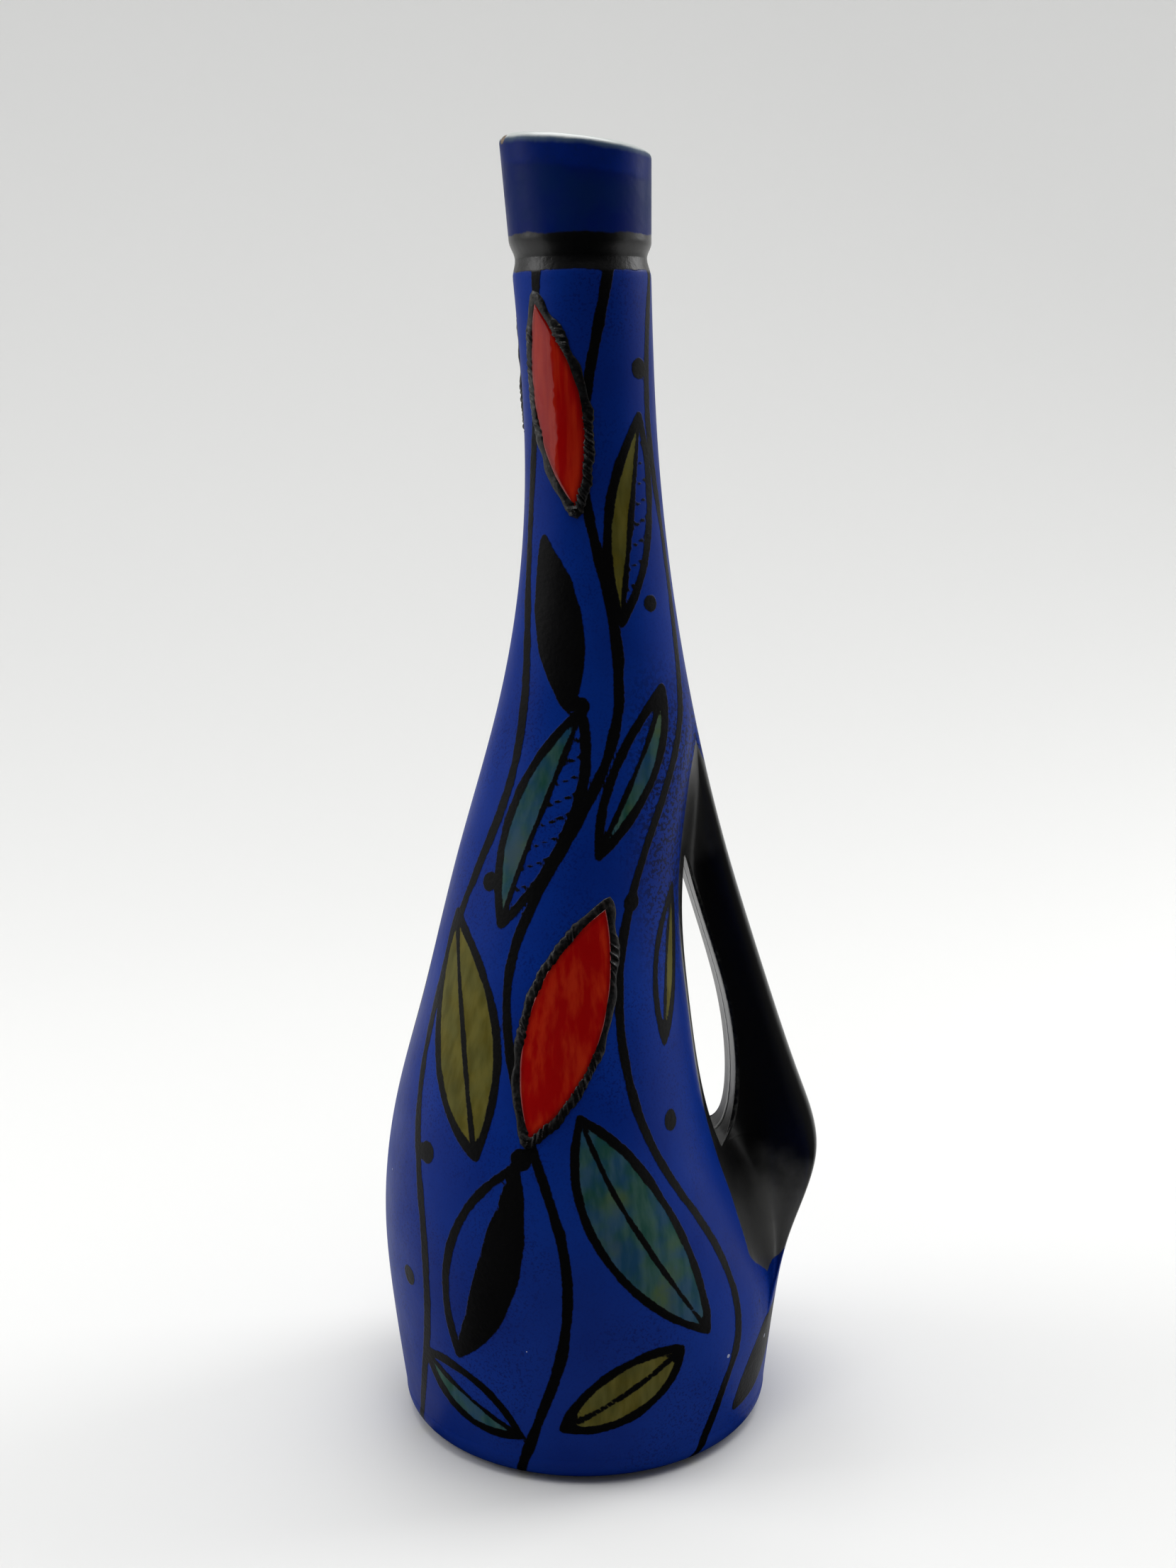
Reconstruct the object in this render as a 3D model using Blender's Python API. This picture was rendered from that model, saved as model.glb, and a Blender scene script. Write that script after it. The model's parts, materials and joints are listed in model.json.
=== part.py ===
"""Pouring jug of glazed earthenware: a bottle body, a pierced strap handle and a short lip.

The jug is cast in sections that are joined with slip while the clay is soft. Each section is a
loft of level outlines, worked out from how far the wall reaches to the spout side, to the handle
side and to the front and back. The handle is left standing by two scoops, one pressed in from the
front and one from the back, and by the slot cut through the thin web where the scoops meet.

Lengths are in metres. +Z is up, +X points to the handle, and the origin is the centre of the flat
underside.
"""

import math

import bmesh
import bpy
import numpy as np

# Heights, stacked from the table up
FOOT_HEIGHT = 0.0065
HEEL_HEIGHT = 0.0595
SLOT_LENGTH = 0.073
ROOT_LENGTH = 0.039
NECK_LENGTH = 0.098
LIP_HEIGHT = 0.0264

# Where a form lies within the stretch that holds it
BELLY_SHARE = 0.72
SCOOP_TIP_SHARE = 0.28
HEEL_SHARE = 0.40
BEND_SHARE = 0.66
ELBOW_SHARE = 0.95
STRAP_LOW_SHARE = 0.20
STRAP_UPPER_SHARE = 0.75
WAIST_SHARE = 0.55

# Reach of the wall from the jug's axis
FOOT_REACH = 0.0447
FOOT_ROUND = 0.006
BELLY_LOW_REACH = 0.0476
BELLY_REACH = 0.0488
BELLY_DEPTH = 0.0478
SHOULDER_LOW_REACH = 0.0450
SHOULDER_MIDDLE_REACH = 0.0390
SHOULDER_REACH = 0.0297
SHOULDER_DEPTH = 0.0280
NECK_LOW_REACH = 0.0187
WAIST_RADIUS = 0.01535
WAIST_SHIFT = 0.00305
NECK_TOP_RADIUS = 0.0157
NECK_TOP_SHIFT = 0.0008
WALL = 0.0037

# Reach of the body's side behind the slot
BODY_BEND_REACH = 0.0410
BODY_LOW_REACH = 0.0322
BODY_LOWER_REACH = 0.0279
BODY_MIDDLE_REACH = 0.0247
BODY_UPPER_REACH = 0.0230
BODY_HIGH_REACH = 0.0234

# The strap handle: reach of its outer face, its widths and its slot
HEEL_REACH = 0.0477
BEND_REACH = 0.0514
ELBOW_REACH = 0.0579
STRAP_LOW_REACH = 0.0540
STRAP_MIDDLE_REACH = 0.0465
STRAP_UPPER_REACH = 0.0407
STRAP_HIGH_REACH = 0.0352
ROOT_REACH = 0.0259
HEEL_WIDTH = 0.052
STRAP_LOW_WIDTH = 0.028
STRAP_HIGH_WIDTH = 0.018
ROOT_WIDTH = 0.0125
RIDGE_MARGIN = 0.0025
WEB_THICKNESS = 0.0102
SLOT_WIDTH = 0.0106
SLOT_SKEW = 0.68
SLOT_FULLNESS = 0.8

# The groove under the lip, and the lip itself
GROOVE_DEPTH = 0.0009
GROOVE_HALF = 0.0042
LIP_RADIUS = 0.0158
LIP_WALL = 0.0036
SPOUT_REACH = 0.0022
SPOUT_SHARPNESS = 8
RIM_DROP = 0.0035

# Slip joint between two sections, and how far back from the slot the strap's ends are drawn together
JOINT = 0.0003
END_SETBACK = 0.003

# Fineness of the lofts
RING_STEP = 0.0052
BODY_POINTS = 10
SCOOP_POINTS = 6
STRAP_POINTS = 3
CUT_POINTS = 2
TURN_POINTS = 40
ROUND_POINTS = 4
WELD = 1e-6
SLIVER = 1e-12
SMOOTH_ANGLE = math.radians(40)

COBALT = (0.012, 0.035, 0.26, 1.0)
NAVY = (0.008, 0.020, 0.13, 1.0)
BLACK = (0.006, 0.006, 0.007, 1.0)

slot_low = FOOT_HEIGHT + HEEL_HEIGHT
slot_high = slot_low + SLOT_LENGTH
slot_middle = (slot_low + slot_high) / 2
slot_lower = slot_low + STRAP_LOW_SHARE * SLOT_LENGTH
slot_upper = slot_low + STRAP_UPPER_SHARE * SLOT_LENGTH
heel = FOOT_HEIGHT + HEEL_SHARE * HEEL_HEIGHT
heel_bend = FOOT_HEIGHT + BEND_SHARE * HEEL_HEIGHT
root_tip = slot_high + ROOT_LENGTH
groove = root_tip + NECK_LENGTH
heel_tip = FOOT_HEIGHT + SCOOP_TIP_SHARE * HEEL_HEIGHT
waist = root_tip + WAIST_SHARE * NECK_LENGTH
groove_radius = NECK_TOP_RADIUS - GROOVE_DEPTH


def smooth_curve(points, level_ends=False):
    """A cubic curve through (height, value) points, as a function of height."""
    heights, values = np.array(points).T
    steps = np.diff(heights)
    slopes = np.diff(values) / steps
    system = np.eye(len(heights))
    target = np.zeros(len(heights))
    for i in range(1, len(heights) - 1):
        system[i, i - 1:i + 2] = steps[i - 1], 2 * (steps[i - 1] + steps[i]), steps[i]
        target[i] = 6 * (slopes[i] - slopes[i - 1])
    if level_ends:
        system[0, :2] = 2 * steps[0], steps[0]
        system[-1, -2:] = steps[-1], 2 * steps[-1]
        target[0] = 6 * slopes[0]
        target[-1] = -6 * slopes[-1]
    bends = np.linalg.solve(system, target)

    def value_at(height):
        height = np.clip(height, heights[0], heights[-1])
        i = np.clip(np.searchsorted(heights, height, side="right") - 1, 0, len(steps) - 1)
        above = heights[i + 1] - height
        below = height - heights[i]
        curved = (bends[i] * above**3 + bends[i + 1] * below**3) / (6 * steps[i])
        from_low = (values[i] / steps[i] - bends[i] * steps[i] / 6) * above
        from_high = (values[i + 1] / steps[i] - bends[i + 1] * steps[i] / 6) * below
        return curved + from_low + from_high

    return value_at


spout_side = smooth_curve([
    (FOOT_HEIGHT, FOOT_REACH),
    (heel, BELLY_LOW_REACH),
    (FOOT_HEIGHT + BELLY_SHARE * HEEL_HEIGHT, BELLY_REACH),
    (slot_lower, SHOULDER_LOW_REACH),
    (slot_middle, SHOULDER_MIDDLE_REACH),
    (slot_high, SHOULDER_REACH),
    (root_tip, NECK_LOW_REACH),
    (waist, WAIST_RADIUS - WAIST_SHIFT),
    (groove, NECK_TOP_RADIUS - NECK_TOP_SHIFT),
])
front_depth = smooth_curve([
    (FOOT_HEIGHT, FOOT_REACH),
    (FOOT_HEIGHT + BELLY_SHARE * HEEL_HEIGHT, BELLY_DEPTH),
    (slot_high, SHOULDER_DEPTH),
    (waist, WAIST_RADIUS),
    (groove, NECK_TOP_RADIUS),
])
strap_side = smooth_curve([
    (FOOT_HEIGHT, FOOT_REACH),
    (heel, HEEL_REACH),
    (heel_bend, BEND_REACH),
    (FOOT_HEIGHT + ELBOW_SHARE * HEEL_HEIGHT, ELBOW_REACH),
    (slot_lower, STRAP_LOW_REACH),
    (slot_middle, STRAP_MIDDLE_REACH),
    (slot_upper, STRAP_UPPER_REACH),
    (slot_high, STRAP_HIGH_REACH),
    (root_tip, ROOT_REACH),
    (waist, WAIST_RADIUS + WAIST_SHIFT),
    (groove, NECK_TOP_RADIUS + NECK_TOP_SHIFT),
])
body_recess = smooth_curve([
    (heel_tip, 0.0),
    (heel_bend, strap_side(heel_bend) - BODY_BEND_REACH),
    (slot_low, strap_side(slot_low) - BODY_LOW_REACH),
    (slot_lower, strap_side(slot_lower) - BODY_LOWER_REACH),
    (slot_middle, strap_side(slot_middle) - BODY_MIDDLE_REACH),
    (slot_upper, strap_side(slot_upper) - BODY_UPPER_REACH),
    (slot_high, strap_side(slot_high) - BODY_HIGH_REACH),
    (root_tip, 0.0),
], level_ends=True)
strap_half = smooth_curve([
    (heel_tip, HEEL_WIDTH / 2),
    (slot_low, STRAP_LOW_WIDTH / 2),
    (slot_high, STRAP_HIGH_WIDTH / 2),
    (root_tip, ROOT_WIDTH / 2),
], level_ends=True)


def blend(first, second, share):
    return first + (second - first) * share


def ease(share):
    """Zero to one with level ends."""
    share = np.clip(share, 0.0, 1.0)
    return share * share * (3 - 2 * share)


def scoop_share(z):
    """How far the scoops are pressed in: not at all at their tips and fully beside the slot."""
    return ease((z - heel_tip) / (slot_low - heel_tip)) * ease((root_tip - z) / (root_tip - slot_high))


class Level:
    """The jug's outline at one height: the body's oval, the strap's oval and the scoop between."""

    def __init__(self, z):
        dip = GROOVE_DEPTH * ease(1 - abs(z - groove) / GROOVE_HALF)
        self.z = z
        self.spout = spout_side(z) - dip
        self.depth = front_depth(z) - dip
        self.strap = strap_side(z) - dip
        self.body = self.strap - body_recess(z)
        self.ridge_angle = math.asin((strap_half(z) + RIDGE_MARGIN) / self.depth)
        self.edge_angle = math.asin(strap_half(z) / self.depth)

    def oval(self, reach, angles, inset=0.0):
        """Points on the oval from the spout side to a reach on the handle side."""
        middle = (reach - self.spout) / 2
        half = (reach + self.spout) / 2 - inset
        return np.stack([middle + half * np.cos(angles), (self.depth - inset) * np.sin(angles)], axis=-1)

    def body_arc(self):
        """The body's wall from the spout side to the ridge where the scoop starts."""
        return self.oval(self.body, np.linspace(math.pi, self.ridge_angle, BODY_POINTS + 1))

    def strap_arc(self):
        """The strap's outer face from its edge to its crown."""
        return self.oval(self.strap, np.linspace(self.edge_angle, 0.0, STRAP_POINTS + 1))

    def scoop(self, shares):
        """The scooped side, from the body's ridge (share 0) to the strap's edge (share 1)."""
        start = self.oval(self.body, self.ridge_angle)
        end = self.oval(self.strap, self.edge_angle)
        lowest = WEB_THICKNESS - (start[1] + end[1]) / 2
        lean = (self.body + self.spout) / 2 * math.tan(self.ridge_angle) / self.depth
        turn = np.array([start[0] + lean * (start[1] - lowest), lowest])
        t = np.asarray(shares)[:, None]
        pressed = (1 - t)**2 * start + 2 * t * (1 - t) * turn + t**2 * end
        angles = blend(self.ridge_angle, self.edge_angle, shares)
        plain = blend(self.oval(self.body, angles), self.oval(self.strap, angles), t)
        return blend(plain, pressed, scoop_share(self.z))

    def share_at(self, reach):
        """The share along the scoop at which it reaches a given distance from the axis."""
        shares = np.linspace(0.0, 1.0, 201)
        return np.interp(reach, self.scoop(shares)[:, 0], shares)

    def slot_edge(self):
        """Reach of the slot's far edge, on the strap."""
        along = np.clip((self.z - slot_low) / SLOT_LENGTH, 0.0, 1.0)
        opening = math.sin(math.pi * along**SLOT_SKEW)**SLOT_FULLNESS
        return self.body + JOINT + SLOT_WIDTH * opening

    def ring(self, half):
        """A closed ring from the half outline at +Y and its mirror image; the ends coincide."""
        points = np.concatenate([half, half[-2::-1] * (1, -1)])
        return np.column_stack([points, np.full(len(points), self.z)])

    def whole(self):
        """Body, web and strap in one outline."""
        scoop = self.scoop(np.linspace(0.0, 1.0, SCOOP_POINTS + 1))
        return self.ring(np.concatenate([self.body_arc(), scoop[1:-1], self.strap_arc()]))

    def body_only(self):
        """The body up to the slot's near edge."""
        end = self.share_at(self.body)
        scoop = self.scoop(np.linspace(0.0, end, SCOOP_POINTS + 1))
        cut = blend(scoop[-1], scoop[-1] * (1, 0), np.linspace(0.0, 1.0, STRAP_POINTS)[:, None])
        return self.ring(np.concatenate([self.body_arc(), scoop[1:], cut[1:]]))

    def strap_only(self):
        """The strap beyond the slot's far edge."""
        start = self.share_at(self.slot_edge())
        scoop = self.scoop(np.linspace(start, 1.0, SCOOP_POINTS + 1))
        cut = blend(scoop[0] * (1, 0), scoop[0], np.linspace(0.0, 1.0, CUT_POINTS + 1)[:, None])
        return self.ring(np.concatenate([cut[:-1], scoop[:-1], self.strap_arc()]))

    def hollow(self, count):
        """The inside of the wall, with a given number of points; where there is a web, its points share one place."""
        turn = self.ridge_angle * (1 - self.web_share())
        body = np.linspace(math.pi, turn, BODY_POINTS + 1)
        web = np.linspace(turn, 0.0, (count + 1) // 2 - BODY_POINTS)
        return self.ring(self.oval(self.body, np.concatenate([body, web[1:]]), WALL))

    def web_share(self):
        """How far a web stands off the body: not at all in the plain rings, fully beside the slot and at its ends."""
        return min(1.001 * scoop_share(self.z), 1.0)

    def across(self, ring):
        """The flat of a joint: over to the hollow and, in a web, to the plane of symmetry."""
        inner = self.hollow(len(ring))
        place = np.arange(len(ring))
        web = np.minimum(place, place[::-1]) > BODY_POINTS
        reach = np.minimum(ring[web, 0], ring[:, 0].max() - END_SETBACK)
        inner[web, 0] = blend(inner[web, 0], reach, self.web_share())
        return inner


def heights(low, high, step=RING_STEP):
    return np.linspace(low, high, math.ceil((high - low) / step) + 1)


def fan(ring):
    """A ring drawn together in its middle, which closes an end."""
    middle = ring[:-1].mean(axis=0)
    return np.tile(middle, (len(ring), 1))


def pressed_flat(ring):
    """A strap ring pressed onto the jug's plane of symmetry, which closes an end within its outline."""
    x, y, z = ring.T
    return np.column_stack([np.maximum(x, x.min() + END_SETBACK), 0 * y, z])


def skin(name, rings, material):
    """A sheet bent round into one closed body through a row of rings, with meeting edges welded."""
    rings = np.array(rings)
    mesh = bpy.data.meshes.new(name)
    sheet = bmesh.new()
    bmesh.ops.create_grid(sheet, x_segments=rings.shape[1] - 1, y_segments=rings.shape[0] - 1, size=1.0)
    for vert, point in zip(sheet.verts, rings.reshape(-1, 3)):
        vert.co = point
    bmesh.ops.remove_doubles(sheet, verts=sheet.verts, dist=WELD)
    slivers = [face for face in sheet.faces if face.calc_area() < SLIVER]
    bmesh.ops.delete(sheet, geom=slivers, context="FACES")
    bmesh.ops.recalc_face_normals(sheet, faces=sheet.faces)
    sheet.to_mesh(mesh)
    sheet.free()
    mesh.materials.append(material)
    mesh.shade_smooth()
    mesh.set_sharp_from_angle(angle=SMOOTH_ANGLE)
    section = bpy.data.objects.new(name, mesh)
    bpy.context.collection.objects.link(section)


def shell(name, levels, outline, material):
    """A hollow section: up the outside, across the joint and down the inside."""
    outside = [outline(level) for level in levels]
    inside = [level.hollow(len(outside[0])) for level in reversed(levels)]
    top = levels[-1].across(outside[-1])
    bottom = levels[0].across(outside[0])
    skin(name, outside + [top] + inside + [bottom] + outside[:1], material)


def glaze(name, colour, roughness):
    material = bpy.data.materials.new(name)
    material.use_nodes = True
    surface = material.node_tree.nodes["Principled BSDF"]
    surface.inputs["Base Color"].default_value = colour
    surface.inputs["Roughness"].default_value = roughness
    surface.inputs["Metallic"].default_value = 0.0
    return material


def circle(radius, z, centre=0.0):
    turn = np.linspace(0.0, 2 * math.pi, TURN_POINTS + 1)
    return np.column_stack([centre + radius * np.cos(turn), radius * np.sin(turn), np.full(len(turn), z)])


def build_foot(material):
    """The floor slab, with a flat underside and a rounded lower edge."""
    quarter = np.linspace(0.0, math.pi / 2, ROUND_POINTS + 1)
    edge = [circle(FOOT_REACH - FOOT_ROUND * (1 - math.sin(a)), FOOT_ROUND * (1 - math.cos(a))) for a in quarter]
    top = circle(FOOT_REACH, FOOT_HEIGHT)
    skin("foot", [fan(edge[0])] + edge + [top, fan(top)], material)


def build_belly(material):
    levels = [Level(z) for z in heights(FOOT_HEIGHT + JOINT, slot_low)]
    shell("belly", levels, Level.whole, material)


def build_shoulder(material):
    levels = [Level(z) for z in heights(slot_low + JOINT, slot_high)]
    shell("shoulder", levels, Level.body_only, material)


def build_neck(material):
    straight = heights(slot_high + JOINT, groove - GROOVE_HALF)
    flank = heights(groove - GROOVE_HALF, groove, GROOVE_HALF / ROUND_POINTS)
    levels = [Level(z) for z in [*straight, *flank[1:]]]
    shell("neck", levels, Level.whole, material)


def build_handle(material):
    rings = [Level(z).strap_only() for z in heights(slot_low + JOINT, slot_high)]
    skin("handle", [pressed_flat(rings[0])] + rings + [pressed_flat(rings[-1])], material)


def build_lip(material):
    """The ring above the groove, its rounded rim and the beak drawn out on the spout side."""
    base = groove + JOINT
    turn = np.linspace(0.0, 2 * math.pi, TURN_POINTS + 1)
    beak = ((1 - np.cos(turn)) / 2)**SPOUT_SHARPNESS
    top = groove + LIP_HEIGHT - RIM_DROP * (1 + np.cos(turn)) / 2

    def ring(radius, z):
        return np.column_stack([NECK_TOP_SHIFT + radius * np.cos(turn), radius * np.sin(turn), z])

    def outer(share):
        flank = ease(share * LIP_HEIGHT / GROOVE_HALF)
        return blend(groove_radius, LIP_RADIUS, flank) + SPOUT_REACH * share * beak

    def wall(share):
        return blend(WALL, LIP_WALL, share)

    shoulder = top - LIP_WALL / 2
    flank_shares = np.linspace(0.0, GROOVE_HALF / LIP_HEIGHT, ROUND_POINTS + 1)
    shares = [*flank_shares, *np.linspace(flank_shares[-1], 1.0, ROUND_POINTS + 1)[1:]]
    outside = [ring(outer(s), base + (shoulder - base) * s) for s in shares]
    inside = [ring(outer(s) - wall(s), base + (shoulder - base) * s) for s in reversed(shares)]
    bow = np.linspace(0.0, math.pi, 2 * ROUND_POINTS + 1)[1:-1]
    middle = outer(1.0) - LIP_WALL / 2
    rim = [ring(middle + LIP_WALL / 2 * math.cos(a), shoulder + LIP_WALL / 2 * math.sin(a)) for a in bow]
    skin("lip", outside + rim + inside + outside[:1], material)


def main():
    for old in list(bpy.data.objects):
        bpy.data.objects.remove(old)
    cobalt = glaze("cobalt_glaze", COBALT, 0.45)
    navy = glaze("navy_glaze", NAVY, 0.40)
    black = glaze("black_glaze", BLACK, 0.30)
    build_foot(cobalt)
    build_belly(cobalt)
    build_shoulder(cobalt)
    build_neck(cobalt)
    build_lip(navy)
    build_handle(black)


main()
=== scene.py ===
"""A painted jug of glazed earthenware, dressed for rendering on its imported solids.

Each section of the wall is a sheet of fine rings, bent round and welded, that follows the same
curves as the solid it stands for. The brush work is kept on the wall as distances to the nearest
painted edge, and the glaze turns those distances into colour, relief and gloss. The red enamel
fields and their crusty contours are raised pieces of their own.

Lengths are in metres, and in millimetres where a name ends in _mm. +X points to the handle, -X to
the pouring lip and -Y to the front.
"""

import json
import math
from collections import namedtuple

import bmesh
import bpy
import numpy as np
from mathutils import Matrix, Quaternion, Vector

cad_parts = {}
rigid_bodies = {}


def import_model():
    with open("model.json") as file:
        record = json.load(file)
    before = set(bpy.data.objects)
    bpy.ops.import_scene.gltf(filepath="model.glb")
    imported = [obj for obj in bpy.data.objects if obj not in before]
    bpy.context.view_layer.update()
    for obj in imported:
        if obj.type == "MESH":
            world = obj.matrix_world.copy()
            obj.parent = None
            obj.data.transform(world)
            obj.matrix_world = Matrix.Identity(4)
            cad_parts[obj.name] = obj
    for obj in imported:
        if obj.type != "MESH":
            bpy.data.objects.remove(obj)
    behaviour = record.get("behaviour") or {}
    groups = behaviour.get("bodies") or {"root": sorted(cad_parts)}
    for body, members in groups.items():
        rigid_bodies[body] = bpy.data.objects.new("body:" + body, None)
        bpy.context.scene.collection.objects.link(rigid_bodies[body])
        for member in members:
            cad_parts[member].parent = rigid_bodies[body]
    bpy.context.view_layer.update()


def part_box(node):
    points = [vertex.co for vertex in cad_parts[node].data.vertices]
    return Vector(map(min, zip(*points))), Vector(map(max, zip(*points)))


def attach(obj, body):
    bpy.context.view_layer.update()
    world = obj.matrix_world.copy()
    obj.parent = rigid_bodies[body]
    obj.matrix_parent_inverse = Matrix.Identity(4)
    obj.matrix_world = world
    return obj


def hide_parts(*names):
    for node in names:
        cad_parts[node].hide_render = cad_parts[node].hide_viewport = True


bl_info = {
    "name": "Painted strap-handle jug",
    "version": (1, 0, 0),
    "blender": (4, 5, 0),
    "location": "View3D > Sidebar > Jug",
    "description": "Builds the glazed sections, the enamel fields and the stage of a pouring jug",
    "category": "Add Mesh",
}

for leftover in list(bpy.data.objects):
    bpy.data.objects.remove(leftover)
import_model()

# Joints between the sections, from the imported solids
FOOT_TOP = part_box("foot")[1].z
SLOT_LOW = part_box("belly")[1].z
SLOT_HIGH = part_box("shoulder")[1].z
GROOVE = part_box("neck")[1].z
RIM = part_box("lip")[1].z

# Heights between the joints
HEEL_TIP = FOOT_TOP + 0.28 * (SLOT_LOW - FOOT_TOP)
HEEL = FOOT_TOP + 0.40 * (SLOT_LOW - FOOT_TOP)
BEND = FOOT_TOP + 0.66 * (SLOT_LOW - FOOT_TOP)
BELLY = FOOT_TOP + 0.72 * (SLOT_LOW - FOOT_TOP)
ELBOW = FOOT_TOP + 0.95 * (SLOT_LOW - FOOT_TOP)
SLOT_LOWER = SLOT_LOW + 0.20 * (SLOT_HIGH - SLOT_LOW)
SLOT_MIDDLE = SLOT_LOW + 0.50 * (SLOT_HIGH - SLOT_LOW)
SLOT_UPPER = SLOT_LOW + 0.75 * (SLOT_HIGH - SLOT_LOW)
ROOT_TIP = SLOT_HIGH + 0.039
WAIST = ROOT_TIP + 0.55 * (GROOVE - ROOT_TIP)

# Reach of the wall from the jug's axis, as in the solids
FOOT_REACH = 0.0447
FOOT_ROUND = 0.006
BELLY_LOW_REACH = 0.0476
BELLY_REACH = 0.0488
BELLY_DEPTH = 0.0478
SHOULDER_LOW_REACH = 0.0450
SHOULDER_MIDDLE_REACH = 0.0390
SHOULDER_REACH = 0.0297
SHOULDER_DEPTH = 0.0280
NECK_LOW_REACH = 0.0187
WAIST_RADIUS = 0.01535
WAIST_SHIFT = 0.00305
NECK_TOP_RADIUS = 0.0157
NECK_TOP_SHIFT = 0.0008
WALL = 0.0037
BODY_BEND_REACH = 0.0410
BODY_LOW_REACH = 0.0322
BODY_LOWER_REACH = 0.0279
BODY_MIDDLE_REACH = 0.0247
BODY_UPPER_REACH = 0.0230
BODY_HIGH_REACH = 0.0234
HEEL_REACH = 0.0477
BEND_REACH = 0.0514
ELBOW_REACH = 0.0579
STRAP_LOW_REACH = 0.0540
STRAP_MIDDLE_REACH = 0.0465
STRAP_UPPER_REACH = 0.0407
STRAP_HIGH_REACH = 0.0352
ROOT_REACH = 0.0259
HEEL_WIDTH = 0.052
STRAP_LOW_WIDTH = 0.028
STRAP_HIGH_WIDTH = 0.018
ROOT_WIDTH = 0.0125
RIDGE_MARGIN = 0.0025
WEB_THICKNESS = 0.0102
SLOT_WIDTH = 0.0106
SLOT_SKEW = 0.68
SLOT_FULLNESS = 0.8
GROOVE_DEPTH = 0.0009
GROOVE_HALF = 0.0042
BOX_HAIR = 0.00003        # keeps these finer walls inside the CAD model's box
LIP_RADIUS = 0.0158
LIP_WALL = 0.0036
SPOUT_REACH = 0.0022
SPOUT_SHARPNESS = 8
RIM_DROP = 0.0035

# The black glaze of the scoops: the heights where it starts to run out in a point, how far that
# takes and how much it draws in, and how far it spreads below the slot
BLACK_LOW = 0.045
BLACK_LOW_FADE = 0.010
BLACK_LOW_MM = 9
BLACK_HIGH = 0.156
BLACK_HIGH_FADE = 0.022
BLACK_HIGH_MM = 5
BLACK_SPREAD_TOP = SLOT_LOW + 0.006
BLACK_SPREAD_FADE = 0.010
BLACK_SPREAD_MM = 1.6

# Widths in the brush work, as shares of a line's width, and a leaf's rib and veins
LEAF_LINE = 0.45
RIB_LINE = 0.28
VEIN_LINE = 0.18
ENAMEL_MARGIN = 0.3
RIB_SHARE = 0.94
VEIN_COUNT = 5
VEIN_SLANT = 0.8
GROOVE_BLACK = 0.0029

# Rim, chip and raised enamel
RIM_PALE_MM = 0.9
LINING_MM = 9.0
CHIP_RADIUS = 0.0013
CHIP_DEPTH = 0.0005
CHIP_SLOPE = 0.9
FIELD_SHORTER_MM = 1.2
FIELD_NARROWER_MM = 0.5
FIELD_ROUND_MM = 0.9
SUNK_MM = 0.3

# Places in the glaze, in millimetres along the axes: bare clay, the groove's black, crawled specks,
# the painted reflection in the scoops and the overlap on the lip
BARE_MM = (0.25, 0.45)
GROOVE_BAND_MM = (GROOVE * 1000 - 3.4, GROOVE * 1000 - 2.6)
LIP_BLACK_MM = GROOVE * 1000 + 4.9
CRAWL_START_MM = (100.0, 138.0)
CRAWL_END_MM = (166.0, 195.0)
CRAWL_SIDE_MM = (2.0, 14.0)
# Where the painted reflection lies in the scoops: grey where the bright floor would be mirrored
REFLECTION_LOW_MM = (55.0, 73.0)
REFLECTION_HIGH_MM = (144.0, 152.0)
REFLECTION_SIDE_MM = (37.0, 47.0)
REFLECTION_STRAP_MM = (71.5, 75.0)
STRAP_LEAN = 0.3
OVERLAP_MM = (293.2, 294.6)
SATIN_SHINE = 0.06

# Fineness of the sheets
RING_STEP = 0.0009
HANDLE_STEP = 0.0007
INSIDE_ROWS = 24
BODY_POINTS = 130
SCOOP_POINTS = 34
STRAP_POINTS = 22
CUT_POINTS = 8
CORNER_POINTS = 8
CORNER_REACH = 0.0011
CORNER_SHARE = 0.3
CUT_ROUND_SHARE = 0.6
WEB_FULL = 1.001
EDGE_REACH = 0.0030
TURN_POINTS = 280
FLOOR_ROWS = 12
FOOT_EDGE_ROWS = 14
LIP_ROWS = 52
RIM_ROWS = 20
FIELD_ROWS = 90
FIELD_POINTS = 97
CONTOUR_ROWS = 200
CONTOUR_POINTS = 25
SWEEP_ROWS = 40
SWEEP_STEPS = 180
WELD = 1e-7
PAPER_WELD = 1e-6
SLIVER = 1e-13
END_SETBACK = 0.003
NUDGE = 0.00005
NUDGE_DEGREES = 0.05
SMOOTH_ANGLE = math.radians(40)
FAR_MM = 60.0


def blend(first, second, share):
    return first + (second - first) * share


def ease(share):
    """Zero to one with level ends."""
    share = np.clip(share, 0.0, 1.0)
    return share * share * (3 - 2 * share)


def smooth_curve(points, level_ends=False):
    """A cubic curve through (height, value) points, as a function of height."""
    heights, values = np.array(points, dtype=float).T
    steps = np.diff(heights)
    slopes = np.diff(values) / steps
    system = np.eye(len(heights))
    target = np.zeros(len(heights))
    for i in range(1, len(heights) - 1):
        system[i, i - 1:i + 2] = steps[i - 1], 2 * (steps[i - 1] + steps[i]), steps[i]
        target[i] = 6 * (slopes[i] - slopes[i - 1])
    if level_ends:
        system[0, :2] = 2 * steps[0], steps[0]
        system[-1, -2:] = steps[-1], 2 * steps[-1]
        target[0] = 6 * slopes[0]
        target[-1] = -6 * slopes[-1]
    bends = np.linalg.solve(system, target)

    def value_at(height):
        height = np.clip(height, heights[0], heights[-1])
        i = np.clip(np.searchsorted(heights, height, side="right") - 1, 0, len(steps) - 1)
        above = heights[i + 1] - height
        below = height - heights[i]
        curved = (bends[i] * above**3 + bends[i + 1] * below**3) / (6 * steps[i])
        from_low = (values[i] / steps[i] - bends[i] * steps[i] / 6) * above
        from_high = (values[i + 1] / steps[i] - bends[i + 1] * steps[i] / 6) * below
        return curved + from_low + from_high

    return value_at


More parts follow.
